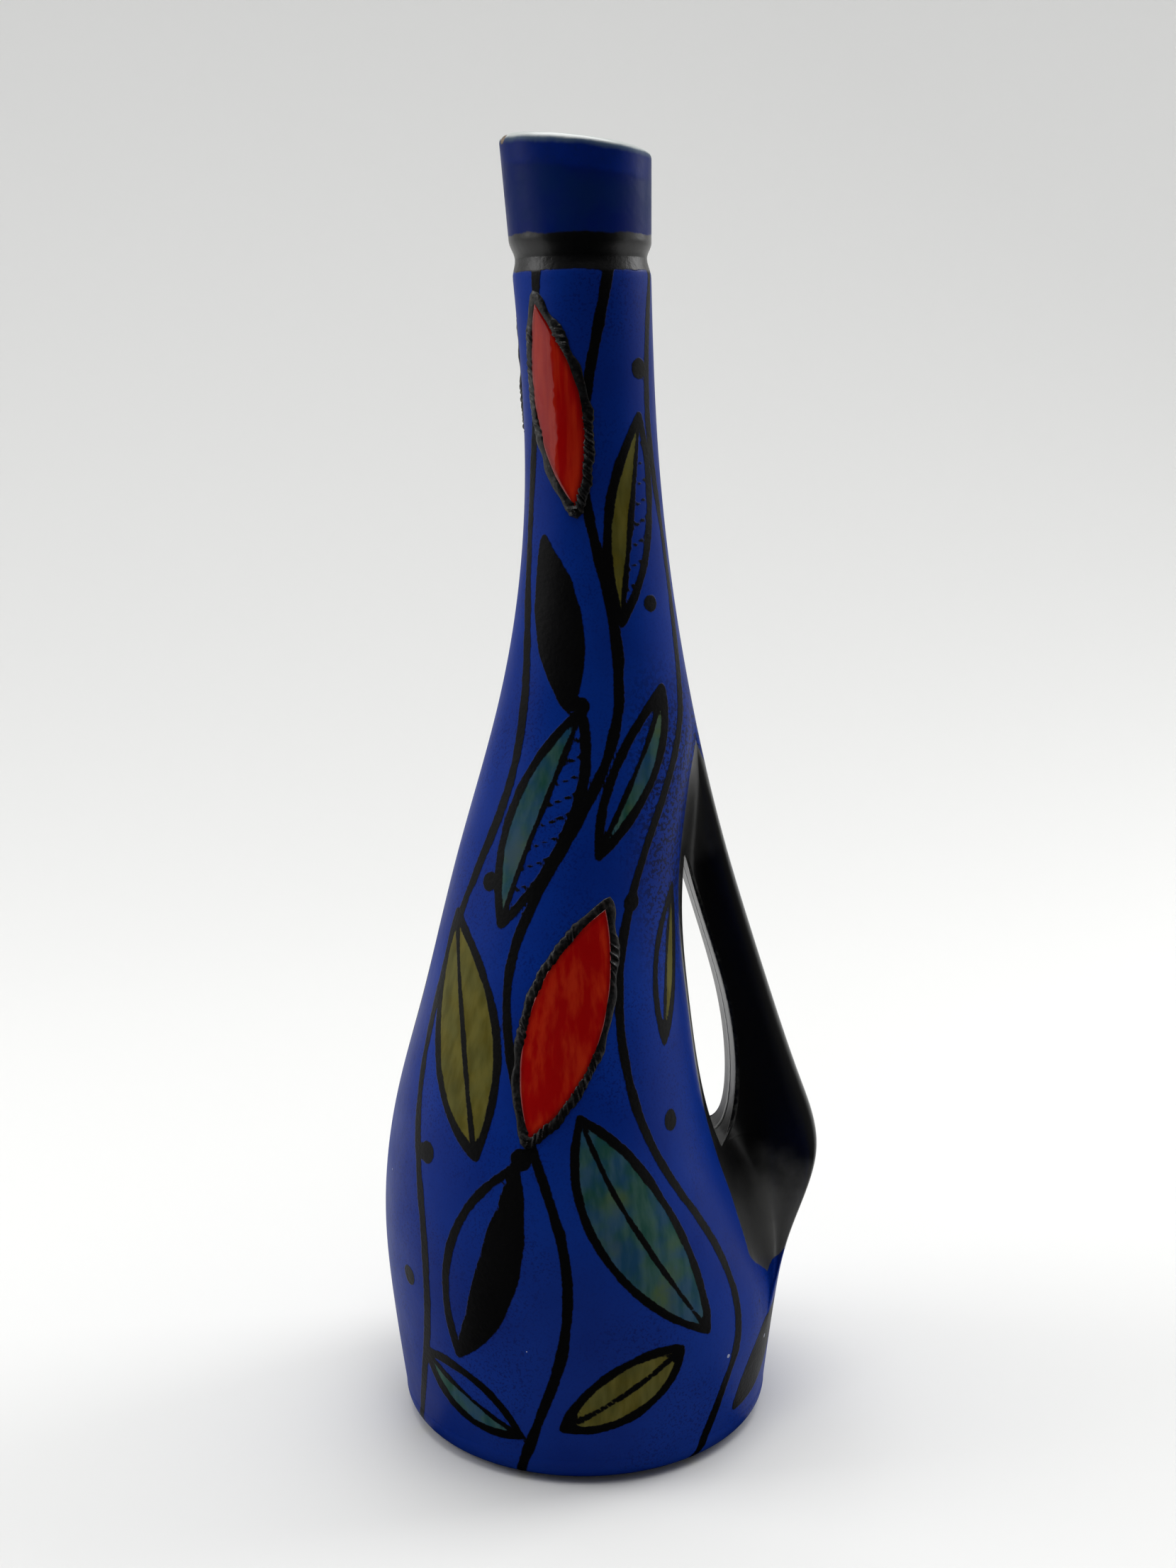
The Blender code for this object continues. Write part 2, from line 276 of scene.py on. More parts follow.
spout_side = smooth_curve([
    (FOOT_TOP, FOOT_REACH),
    (HEEL, BELLY_LOW_REACH),
    (BELLY, BELLY_REACH),
    (SLOT_LOWER, SHOULDER_LOW_REACH),
    (SLOT_MIDDLE, SHOULDER_MIDDLE_REACH),
    (SLOT_HIGH, SHOULDER_REACH),
    (ROOT_TIP, NECK_LOW_REACH),
    (WAIST, WAIST_RADIUS - WAIST_SHIFT),
    (GROOVE, NECK_TOP_RADIUS - NECK_TOP_SHIFT),
])
front_depth = smooth_curve([
    (FOOT_TOP, FOOT_REACH),
    (BELLY, BELLY_DEPTH),
    (SLOT_HIGH, SHOULDER_DEPTH),
    (WAIST, WAIST_RADIUS),
    (GROOVE, NECK_TOP_RADIUS),
])
strap_side = smooth_curve([
    (FOOT_TOP, FOOT_REACH),
    (HEEL, HEEL_REACH),
    (BEND, BEND_REACH),
    (ELBOW, ELBOW_REACH),
    (SLOT_LOWER, STRAP_LOW_REACH),
    (SLOT_MIDDLE, STRAP_MIDDLE_REACH),
    (SLOT_UPPER, STRAP_UPPER_REACH),
    (SLOT_HIGH, STRAP_HIGH_REACH),
    (ROOT_TIP, ROOT_REACH),
    (WAIST, WAIST_RADIUS + WAIST_SHIFT),
    (GROOVE, NECK_TOP_RADIUS + NECK_TOP_SHIFT),
])
body_recess = smooth_curve([
    (HEEL_TIP, 0.0),
    (BEND, strap_side(BEND) - BODY_BEND_REACH),
    (SLOT_LOW, strap_side(SLOT_LOW) - BODY_LOW_REACH),
    (SLOT_LOWER, strap_side(SLOT_LOWER) - BODY_LOWER_REACH),
    (SLOT_MIDDLE, strap_side(SLOT_MIDDLE) - BODY_MIDDLE_REACH),
    (SLOT_UPPER, strap_side(SLOT_UPPER) - BODY_UPPER_REACH),
    (SLOT_HIGH, strap_side(SLOT_HIGH) - BODY_HIGH_REACH),
    (ROOT_TIP, 0.0),
], level_ends=True)
strap_half = smooth_curve([
    (HEEL_TIP, HEEL_WIDTH / 2),
    (SLOT_LOW, STRAP_LOW_WIDTH / 2),
    (SLOT_HIGH, STRAP_HIGH_WIDTH / 2),
    (ROOT_TIP, ROOT_WIDTH / 2),
], level_ends=True)


def scoop_share(z):
    """How far the scoops are pressed in: not at all at their tips and fully beside the slot."""
    from_heel = ease((z - HEEL_TIP) / (SLOT_LOW - HEEL_TIP))
    return from_heel * ease((ROOT_TIP - z) / (ROOT_TIP - SLOT_HIGH))


def walls(z):
    """Reach of the wall at a height: to the lip's side, the front, the strap and the body behind it."""
    dip = BOX_HAIR + GROOVE_DEPTH * ease(1 - np.abs(z - GROOVE) / GROOVE_HALF)
    strap = strap_side(z) - dip
    return spout_side(z) - dip, front_depth(z) - dip, strap, strap - body_recess(z)


def step_lengths(points):
    return np.linalg.norm(np.diff(points, axis=0), axis=1)


def distances(points):
    """How far along a path its points lie."""
    return np.concatenate([[0.0], np.cumsum(step_lengths(points))])


def bow(start, turn, end, t):
    """Points on a curve that sets out towards a turning point and arrives from it."""
    return (1 - t)**2 * start + 2 * t * (1 - t) * turn + t**2 * end


def resample(points, start, stop, count):
    """Evenly spaced points on a path, between two distances along it."""
    along = distances(points)
    at = np.linspace(start, stop, count)
    return np.stack([np.interp(at, along, points[:, axis]) for axis in (0, 1)], axis=-1)


def joined(paths, counts, reaches):
    """Paths end to end as one row of points, with the corners between them rounded off."""
    lengths = [step_lengths(path).sum() for path in paths]
    pairs = zip(lengths, lengths[1:])
    trims = [min(reach, CORNER_SHARE * min(pair)) for reach, pair in zip(reaches, pairs)]
    parts = []
    for i, path in enumerate(paths):
        start = trims[i - 1] if i else 0.0
        stop = lengths[i] - (trims[i] if i < len(trims) else 0.0)
        part = resample(path, start, stop, counts[i])
        if i:
            t = np.linspace(0.0, 1.0, CORNER_POINTS + 2)[1:-1, None]
            parts.append(bow(parts[-1][-1], path[0], part[0], t))
        parts.append(part)
    return np.concatenate(parts)


def unpainted(count, inside):
    """Painted distances of points that lie far from any edge."""
    far = np.full(count, FAR_MM)
    return {"black_gap": far, "cut_gap": far, "inside": np.full(count, inside)}


class Level:
    """The jug's outline at one height: the body's oval, the strap's oval and the scoop between."""

    def __init__(self, z):
        self.z = z
        self.spout, self.depth, self.strap, self.body = walls(z)
        self.ridge_angle = math.asin((strap_half(z) + RIDGE_MARGIN) / self.depth)
        self.edge_angle = math.asin(strap_half(z) / self.depth)

    def oval(self, reach, angles, inset=0.0):
        """Points on the oval from the spout side to a reach on the handle side."""
        middle = (reach - self.spout) / 2
        half = (reach + self.spout) / 2 - inset
        x = middle + half * np.cos(angles)
        return np.stack([x, (self.depth - inset) * np.sin(angles)], axis=-1)

    def body_arc(self):
        return self.oval(self.body, np.linspace(math.pi, self.ridge_angle, BODY_POINTS + 1))

    def strap_arc(self):
        return self.oval(self.strap, np.linspace(self.edge_angle, 0.0, 4 * STRAP_POINTS))

    def scoop(self, shares):
        """The scooped side, from the body's ridge (share 0) to the strap's edge (share 1)."""
        start = self.oval(self.body, self.ridge_angle)
        end = self.oval(self.strap, self.edge_angle)
        lowest = WEB_THICKNESS - (start[1] + end[1]) / 2
        lean = (self.body + self.spout) / 2 * math.tan(self.ridge_angle) / self.depth
        turn = np.array([start[0] + lean * (start[1] - lowest), lowest])
        t = np.asarray(shares)[:, None]
        pressed = bow(start, turn, end, t)
        angles = blend(self.ridge_angle, self.edge_angle, shares)
        plain = blend(self.oval(self.body, angles), self.oval(self.strap, angles), t)
        return blend(plain, pressed, scoop_share(self.z))

    def share_at(self, reach):
        """The share along the scoop at which it reaches a given distance from the axis."""
        shares = np.linspace(0.0, 1.0, 401)
        return np.interp(reach, self.scoop(shares)[:, 0], shares)

    def slot_gap(self):
        """Width of the slot."""
        along = np.clip((self.z - SLOT_LOW) / (SLOT_HIGH - SLOT_LOW), 0.0, 1.0)
        return SLOT_WIDTH * max(math.sin(math.pi * along**SLOT_SKEW), 0.0)**SLOT_FULLNESS

    def cut_round(self):
        """Rounding of the slot's edges, which runs out where the slot closes."""
        return CORNER_REACH * ease(self.slot_gap() / (CUT_ROUND_SHARE * SLOT_WIDTH)) + 1e-6

    def closed(self, half):
        """A half outline and its mirror image as a closed row of points."""
        flat = np.concatenate([half, half[-2::-1] * (1, -1)])
        return np.column_stack([flat, np.full(len(flat), self.z)])

    def row(self, half, black_from=None, black_to=None, cut=None):
        """A closed row from a half outline, with its painted distances."""
        along = distances(half) * 1000
        gap = np.full(len(half), -FAR_MM)
        if black_from is not None:
            spread_mm = BLACK_SPREAD_MM * ease((BLACK_SPREAD_TOP - self.z) / BLACK_SPREAD_FADE)
            gap = np.maximum(gap, along[black_from] - along - spread_mm)
        if black_to is not None:
            gap = np.maximum(gap, along - along[black_to])
        low_end = ease((BLACK_LOW - self.z) / BLACK_LOW_FADE)
        high_end = ease((self.z - BLACK_HIGH) / BLACK_HIGH_FADE)
        values = unpainted(len(half), 0.0)
        values["black_gap"] = gap + BLACK_LOW_MM * low_end + BLACK_HIGH_MM * high_end
        if cut:
            values["cut_gap"] = np.maximum(along[cut[0]] - along, along - along[cut[1]])
        return self.closed(half), {key: np.concatenate([v, v[-2::-1]]) for key, v in values.items()}

    def whole(self):
        """Body, web and strap in one outline."""
        body = self.body_arc()
        scoop = self.scoop(np.linspace(0.0, 1.0, 4 * SCOOP_POINTS))
        rest = joined([scoop, self.strap_arc()], [SCOOP_POINTS, STRAP_POINTS], [EDGE_REACH])
        return self.row(
            np.concatenate([body[:-1], rest]),
            black_from=BODY_POINTS, black_to=BODY_POINTS + SCOOP_POINTS + CORNER_POINTS,
        )

    def body_only(self):
        """The body up to the slot's near edge."""
        scoop = self.scoop(np.linspace(0.0, self.share_at(self.body), 4 * SCOOP_POINTS))
        cut = np.array([scoop[-1], scoop[-1] * (1, 0)])
        rest = joined([scoop, cut], [SCOOP_POINTS, CUT_POINTS], [self.cut_round()])
        first = BODY_POINTS + SCOOP_POINTS + CORNER_POINTS // 2
        half = np.concatenate([self.body_arc()[:-1], rest])
        return self.row(half, black_from=BODY_POINTS, cut=(first, -1))

    def strap_only(self):
        """The strap beyond the slot's far edge."""
        first = self.share_at(self.body + self.slot_gap())
        scoop = self.scoop(np.linspace(first, 1.0, 4 * SCOOP_POINTS))
        cut = np.array([scoop[0] * (1, 0), scoop[0]])
        counts = [CUT_POINTS, SCOOP_POINTS, STRAP_POINTS]
        half = joined([cut, scoop, self.strap_arc()], counts, [self.cut_round(), EDGE_REACH])
        edge = CUT_POINTS + SCOOP_POINTS + 2 * CORNER_POINTS
        return self.row(half, black_to=edge, cut=(0, CUT_POINTS + CORNER_POINTS // 2))

    def web_share(self):
        """How far a web stands off the body: not in plain rings, fully beside the slot and at its ends."""
        return min(WEB_FULL * scoop_share(self.z), 1.0)

    def across(self, row):
        """The flat of a joint: over to the hollow and, in a web, to the plane of symmetry."""
        points = row[0]
        inner, values = self.hollow(len(points))
        place = np.arange(len(points))
        web = np.minimum(place, place[::-1]) > BODY_POINTS
        reach = np.minimum(points[web, 0], points[:, 0].max() - END_SETBACK)
        inner[web, 0] = blend(inner[web, 0], reach, self.web_share())
        return inner, values

    def hollow(self, count):
        """The inside of the wall in a number of points; those of a web share one place."""
        turn = self.ridge_angle * (1 - self.web_share())
        body = np.linspace(math.pi, turn, BODY_POINTS + 1)
        web = np.linspace(turn, 0.0, (count + 1) // 2 - BODY_POINTS)
        points = self.closed(self.oval(self.body, np.concatenate([body, web[1:]]), WALL))
        return points, unpainted(len(points), 1.0)


# The painted design: leaves on winding stems, mirrored on the back. Places are degrees round the
# wall from the front (-90 is under the lip, 90 is the handle) and millimetres above the table.
Leaf = namedtuple("Leaf", "around height tilt length width left right veins")
Spot = namedtuple("Spot", "around height radius")

STEMS = [
    [
        (0, -34), (30, -20), (62, -12), (92, -26), (122, -36), (152, -14),
        (180, 2), (206, -6), (232, -22), (255, -8), (276, 12),
    ],
    [
        (0, 22), (26, 36), (48, 42), (85, 22), (118, 14), (148, 28),
        (182, 52), (212, 58), (240, 46), (276, 64),
    ],
    [
        (0, -78), (30, -64), (62, -62), (95, -76), (125, -74), (155, -58),
        (185, -62), (215, -76), (245, -66), (276, -52),
    ],
]
LEAVES = [
    Leaf(18, 219, 10, 23, 5.4, "olive", "blue", True),
    Leaf(-40, 196, -14, 19, 4.8, "black", "black", False),
    Leaf(-34, 153, 12, 24, 7.4, "teal", "blue", True),
    Leaf(14, 163, 20, 19, 5.0, "blue", "teal", False),
    Leaf(-55, 104, -22, 27, 9.6, "olive", "olive", False),
    Leaf(13, 62, -22, 29, 10.5, "teal", "teal", False),
    Leaf(-39, 54, 21, 26, 8.6, "blue", "black", True),
    Leaf(-1, 24, 58, 17, 6.2, "olive", "olive", False),
    Leaf(-49, 19, -62, 15, 5.6, "teal", "blue", False),
    Leaf(54, 20, 52, 15, 5.4, "black", "black", False),
    Leaf(44, 118, 14, 17, 4.6, "blue", "olive", False),
]
ENAMEL_LEAVES = {
    "neck": Leaf(-42, 244, -10, 24, 6.6, "red", "red", False),
    "body": Leaf(-10, 109, 18, 27, 9.8, "red", "red", False),
}
SPOTS = [
    Spot(36, 252, 2.4), Spot(30, 200, 1.9), Spot(-20, 178, 1.9), Spot(20, 134, 2.2),
    Spot(-55, 138, 2.2), Spot(-62, 76, 2.6), Spot(-24, 80, 2.6), Spot(36, 84, 2.4),
    Spot(-70, 44, 2.4),
]


def body_oval(z):
    """Middle, half length and depth of the body's oval at a height."""
    spout, depth, strap, body = walls(np.clip(z, FOOT_TOP, GROOVE))
    return (body - spout) / 2, (body + spout) / 2, depth


def girth(z):
    """Mean radius of the body's oval at a height."""
    middle, half, depth = body_oval(z)
    return (half + depth) / 2


def unroll(points):
    """Degrees round the wall from the front, folded over onto it from the back, and height."""
    x, y, z = points.T
    middle, half, depth = body_oval(z)
    turn = np.arctan2(-np.abs(y) / depth, (x - middle) / half)
    return np.degrees(turn) + 90, z


def on_leaf(leaf, around, z):
    """Millimetres across and along a leaf, for places on the wall."""
    side = girth(z) * 1000 * np.radians(around - leaf.around)
    rise = z * 1000 - leaf.height
    tilt = math.radians(leaf.tilt)
    across = side * math.cos(tilt) - rise * math.sin(tilt)
    return across, side * math.sin(tilt) + rise * math.cos(tilt)


def leaf_gap(leaf, across, along):
    """Distance to a leaf's edge, made by two arcs that meet in points; negative inside."""
    radius = (leaf.length**2 + leaf.width**2) / (2 * leaf.width)
    offset = radius - leaf.width
    across = np.abs(across)
    along = np.abs(along)
    past_tip = (along - leaf.length) * offset > across * leaf.length
    to_tip = np.hypot(across, along - leaf.length)
    return np.where(past_tip, to_tip, np.hypot(across + offset, along) - radius)


def stem_gap(stem, around, z):
    """Distance to the middle of a winding stem."""
    course = smooth_curve([(height * 0.001, place) for height, place in stem])
    radius = girth(z)
    lean = radius * np.radians(course(z + 0.0005) - course(z - 0.0005)) / 0.001
    side = radius * np.radians(around - course(z))
    return np.abs(side) * 1000 / np.sqrt(1 + lean**2)


def brush_work(points, line_mm):
    """Distances from points on the wall to the edges of the brush lines and the painted fields."""
    around, z = unroll(points)
    line = np.full(len(points), FAR_MM)
    fields = {name: np.full(len(points), FAR_MM) for name in ("olive", "teal", "black", "blue")}
    for stem in STEMS:
        line = np.minimum(line, stem_gap(stem, around, z) - line_mm / 2)
    for leaf in LEAVES:
        across, along = on_leaf(leaf, around, z)
        edge = leaf_gap(leaf, across, along)
        line = np.where(edge < 0, FAR_MM, line)
        line = np.minimum(line, np.abs(edge) - LEAF_LINE * line_mm)
        rib = np.maximum(np.abs(across) - RIB_LINE * line_mm, np.abs(along) - RIB_SHARE * leaf.length)
        line = np.minimum(line, rib)
        if leaf.veins:
            pitch = leaf.length / VEIN_COUNT
            slant = (along - VEIN_SLANT * across) % pitch - pitch / 2
            vein = np.maximum(np.abs(slant) - VEIN_LINE * line_mm, np.maximum(edge, -across))
            line = np.minimum(line, vein)
        fields[leaf.left] = np.minimum(fields[leaf.left], np.maximum(edge, across))
        fields[leaf.right] = np.minimum(fields[leaf.right], np.maximum(edge, -across))
    for leaf in ENAMEL_LEAVES.values():
        edge = leaf_gap(leaf, *on_leaf(leaf, around, z))
        line = np.minimum(line, edge - ENAMEL_MARGIN * line_mm)
    for spot in SPOTS:
        across, along = on_leaf(Leaf(spot.around, spot.height, 0, 1, 1, "", "", False), around, z)
        line = np.minimum(line, np.hypot(across, along) - spot.radius)
    groove_mm = (GROOVE - GROOVE_BLACK - z) * 1000
    line = np.minimum(np.minimum(line, groove_mm), fields["black"])
    back = points[:, 1] > 0
    olive = np.where(back, fields["teal"], fields["olive"])
    teal = np.where(back, fields["olive"], fields["teal"])
    return {"line_gap": line, "olive_gap": olive, "teal_gap": teal}


def on_wall(around, z, rise):
    """Points that stand a given height off the outer wall of the front."""

    def surface(around, z):
        middle, half, depth = body_oval(z)
        turn = np.radians(around - 90)
        return np.stack([middle + half * np.cos(turn), depth * np.sin(turn), z], axis=-1)

    point = surface(around, z)
    sideways = surface(around + NUDGE_DEGREES, z) - point
    upwards = surface(around, z + NUDGE) - point
    outward = np.cross(sideways, upwards)
    outward /= np.linalg.norm(outward, axis=-1, keepdims=True)
    return point + outward * np.asarray(rise)[..., None]


def leaf_to_wall(leaf, across, along, rise, back):
    """Places on a leaf, in millimetres, set on the wall; on the back they are mirrored."""
    tilt = math.radians(leaf.tilt)
    z = (leaf.height + along * math.cos(tilt) - across * math.sin(tilt)) * 0.001
    side = (along * math.sin(tilt) + across * math.cos(tilt)) * 0.001
    points = on_wall(leaf.around + np.degrees(side / girth(z)), z, rise * 0.001)
    return points * (1, -1, 1) if back else points


def ripple(values, seed, waves, shortest):
    """A smooth uneven line from a few seeded waves, between about -1 and 1."""
    chance = np.random.default_rng(seed)
    total = np.zeros_like(values)
    for _ in range(waves):
        wave = shortest * chance.uniform(1.0, 3.0)
        total += np.sin(values * 2 * math.pi / wave + chance.uniform(0, 7))
    return total / math.sqrt(waves) / 1.4


def piece_of(name, sheet, material):
    """A smooth piece from a finished sheet."""
    mesh = bpy.data.meshes.new(name)
    sheet.to_mesh(mesh)
    sheet.free()
    mesh.shade_smooth()
    mesh.materials.append(material)
    piece = bpy.data.objects.new(name, mesh)
    bpy.context.scene.collection.objects.link(piece)
    return piece


def skin(name, rings, material, values=None, line_mm=None):
    """A sheet bent round into one closed piece through a row of rings, with meeting edges welded."""
    rings = np.array(rings)
    sheet = bmesh.new()
    bmesh.ops.create_grid(sheet, x_segments=rings.shape[1] - 1, y_segments=rings.shape[0] - 1, size=1.0)
    layers = []
    for key, rows in (values or {}).items():
        layers.append((sheet.verts.layers.float.new(key), np.array(rows).ravel()))
    for i, (vert, point) in enumerate(zip(sheet.verts, rings.reshape(-1, 3))):
        vert.co = point
        for layer, numbers in layers:
            vert[layer] = numbers[i]
    bmesh.ops.remove_doubles(sheet, verts=sheet.verts, dist=WELD)
    slivers = [face for face in sheet.faces if face.calc_area() < SLIVER]
    bmesh.ops.delete(sheet, geom=slivers, context="FACES")
    bmesh.ops.recalc_face_normals(sheet, faces=sheet.faces)
    piece = piece_of(name, sheet, material)
    mesh = piece.data
    mesh.set_sharp_from_angle(angle=SMOOTH_ANGLE)
    if line_mm:
        places = np.zeros(len(mesh.vertices) * 3)
        mesh.vertices.foreach_get("co", places)
        for key, numbers in brush_work(places.reshape(-1, 3), line_mm).items():
            attribute = mesh.attributes.new(key, "FLOAT", "POINT")
            attribute.data.foreach_set("value", numbers.astype(np.float32))
    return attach(piece, "root")


def closed_up(row):
    """A row pressed flat on the jug's plane of symmetry, which closes an end."""
    points, values = row
    x, y, z = points.T
    return np.column_stack([np.maximum(x, x.min() + END_SETBACK), 0 * y, z]), values


def ring_heights(low, high, step):
    return np.linspace(low, high, math.ceil((high - low) / step) + 1)


def shell(low, high, outline):
    """Rows of a hollow section: up the outside, across the joint and down the inside."""
    levels = [Level(z) for z in ring_heights(low, high, RING_STEP)]
    outside = [outline(level) for level in levels]
    inside = [Level(z).hollow(len(outside[0][0])) for z in np.linspace(high, low, INSIDE_ROWS)]
    top = levels[-1].across(outside[-1])
    bottom = levels[0].across(outside[0])
    return outside + [top] + inside + [bottom] + outside[:1]


class Value:
    """A value that varies over a finish; what is done with it becomes nodes."""

    def __init__(self, finish, socket):
        self.finish = finish
        self.socket = socket

    def __add__(self, other):
        return self.finish.math("ADD", self, other)

    def __sub__(self, other):
        return self.finish.math("SUBTRACT", self, other)

    def __mul__(self, other):
        return self.finish.math("MULTIPLY", self, other)

    def __abs__(self):
        return self.finish.math("ABSOLUTE", self)

    def below(self, limit):
        """1 where the value is less than a limit and 0 elsewhere."""
        return self.finish.math("LESS_THAN", self, limit)

    def eased(self, low, high, to_low=0.0, to_high=1.0):
        """The value brought from one range to another with soft ends."""
        ends = {"Value": self, "From Min": low, "From Max": high, "To Min": to_low, "To Max": to_high}
        return self.finish.node("ShaderNodeMapRange", ends, "Result", interpolation_type="SMOOTHSTEP")

    def painted(self, soft=0.16):
        """A distance to a painted edge as 1 inside the edge and 0 outside it."""
        return self.eased(-soft, soft, 1.0, 0.0)

    def beside(self, output):
        """Another output of the same node."""
        return Value(self.finish, self.socket.node.outputs[output])


class Finish:
    """A material and a short way to add its nodes."""

    def __init__(self, name):
        self.material = bpy.data.materials.new(name)
        self.material.use_nodes = True
        self.tree = self.material.node_tree
        metres = self.node("ShaderNodeTexCoord", {}, "Object")
        scaled = {"Vector": metres, "Scale": 1000}
        self.place_mm = self.node("ShaderNodeVectorMath", scaled, "Vector", operation="SCALE")

    def node(self, kind, sockets, output, **settings):
        """Adds a node, feeds its sockets and gives one of its outputs."""
        node = self.tree.nodes.new(kind)
        for key, value in settings.items():
            setattr(node, key, value)
        self.feed(node, sockets)
        return Value(self, node.outputs[output])

    def feed(self, node, sockets):
        for key, value in sockets.items():
            if isinstance(value, Value):
                self.tree.links.new(value.socket, node.inputs[key])
            else:
                node.inputs[key].default_value = value

    def surface(self, sockets):
        """Sets the shader's own sockets."""
        self.feed(self.tree.nodes["Principled BSDF"], sockets)

    def relief(self, height_mm):
        """A height in millimetres as relief on the surface."""
        normal = self.node("ShaderNodeBump", {"Distance": 0.001, "Height": height_mm}, "Normal")
        self.surface({"Normal": normal, "Coat Normal": normal})

    def math(self, operation, *values, clamp=False):
        sockets = dict(enumerate(values))
        return self.node("ShaderNodeMath", sockets, "Value", operation=operation, use_clamp=clamp)

    def largest(self, value, *others):
        for other in others:
            value = self.math("MAXIMUM", value, other)
        return value

    def mix(self, share, first, second):
        return self.node("ShaderNodeMix", {"Factor": share, 6: first, 7: second}, 2, data_type="RGBA")

    def layered(self, tone, *layers):
        """Colours laid over each other, each as far as its share says."""
        for share, colour in layers:
            tone = self.mix(share, tone, colour)
        return tone

    def noise(self, size_mm, detail=2.0, turn=None, stretch=None):
        """Soft noise from 0 to 1 with patches of about a given size, turned and stretched if asked."""
        place = self.place_mm
        if stretch:
            sockets = {"Vector": place, "Rotation": turn, "Scale": stretch}
            place = self.node("ShaderNodeMapping", sockets, "Vector")
        sockets = {"Vector": place, "Scale": 1 / size_mm, "Detail": detail}
        return self.node("ShaderNodeTexNoise", sockets, "Fac")

    def attribute(self, name):
        return self.node("ShaderNodeAttribute", {}, "Fac", attribute_name=name)

    def axis(self, letter):
        """Millimetres along one of the jug's axes."""
        return self.node("ShaderNodeSeparateXYZ", {"Vector": self.place_mm}, letter)

    def specks(self, spacing_mm, size_mm, share):
        """Scattered round specks: 1 inside a speck, for a share of the places that could have one."""
        sockets = {"Vector": self.place_mm, "Scale": 1 / spacing_mm}
        cell = self.node("ShaderNodeTexVoronoi", sockets, "Color")
        chance = self.node("ShaderNodeSeparateColor", {"Color": cell}, "Green")
        near = cell.beside("Distance").below(chance * (size_mm / spacing_mm))
        return near * chance.beside("Red").below(share)


def blue_ground(finish, colours):
    """Cobalt that lies thin in clouds and thick in grains, with dark specks where it crawled."""
    cloud = finish.noise(34.0, 3.0).eased(0.3, 0.7)
    grain = finish.noise(0.55).eased(0.50, 0.66) * finish.noise(22.0).eased(0.40, 0.65, 0.18, 0.75)
    height = finish.axis("Z")
    crawl_place = height.eased(*CRAWL_START_MM) * height.eased(*CRAWL_END_MM, 1.0, 0.0)
    crawl_place = crawl_place * finish.axis("X").eased(*CRAWL_SIDE_MM)
    crawl = finish.noise(0.9, 3.0).eased(0.48, 0.56, 0.0, 0.9) * crawl_place
    ground = finish.mix(cloud, colours.cobalt, colours.cobalt_light)
    return finish.layered(ground, (grain, colours.cobalt_dark), (crawl, colours.navy_deep))


def field_washes(finish, colours):
    """The olive and the teal as streaky washes that let other colours through."""
    streak = finish.noise(2.6, 3.0, (0.3, 0.5, 0.2), (1.0, 1.0, 0.22)).eased(0.3, 0.7)
    wash = finish.noise(7.0, 3.0).eased(0.35, 0.68)
    patch = finish.noise(15.0).eased(0.55, 0.72, 0.0, 0.75)
    olive = finish.mix(streak, colours.olive, colours.olive_light)
    teal = finish.mix(streak, colours.teal, colours.teal_light)
    olive = finish.mix(wash * 0.16, olive, colours.teal)
    return olive, finish.layered(teal, (patch, colours.lime), (wash * 0.30, colours.cobalt_light))


def scoop_black_and_reflection(finish, colours):
    """Black with a painted reflection at both ends of the scoops and along the strap's outer edge."""
    side = finish.axis("X")
    height = finish.axis("Z")
    drift = height + finish.noise(7.0, 3.0) * 16.0
    # Painted reflection: grey in the bowl, at the root and along the strap's edge, where the floor would
    # mirror
    bowl = drift.eased(*REFLECTION_LOW_MM, 1.0, 0.0) * side.eased(*REFLECTION_SIDE_MM, 0.2, 1.0)
    strap = (side + height * STRAP_LEAN).eased(*REFLECTION_STRAP_MM, 0.0, 0.13)
    root = drift.eased(*REFLECTION_HIGH_MM, 0.0, 0.2)
    return finish.mix(finish.largest(bowl, strap, root), colours.black, colours.painted_reflection_grey)


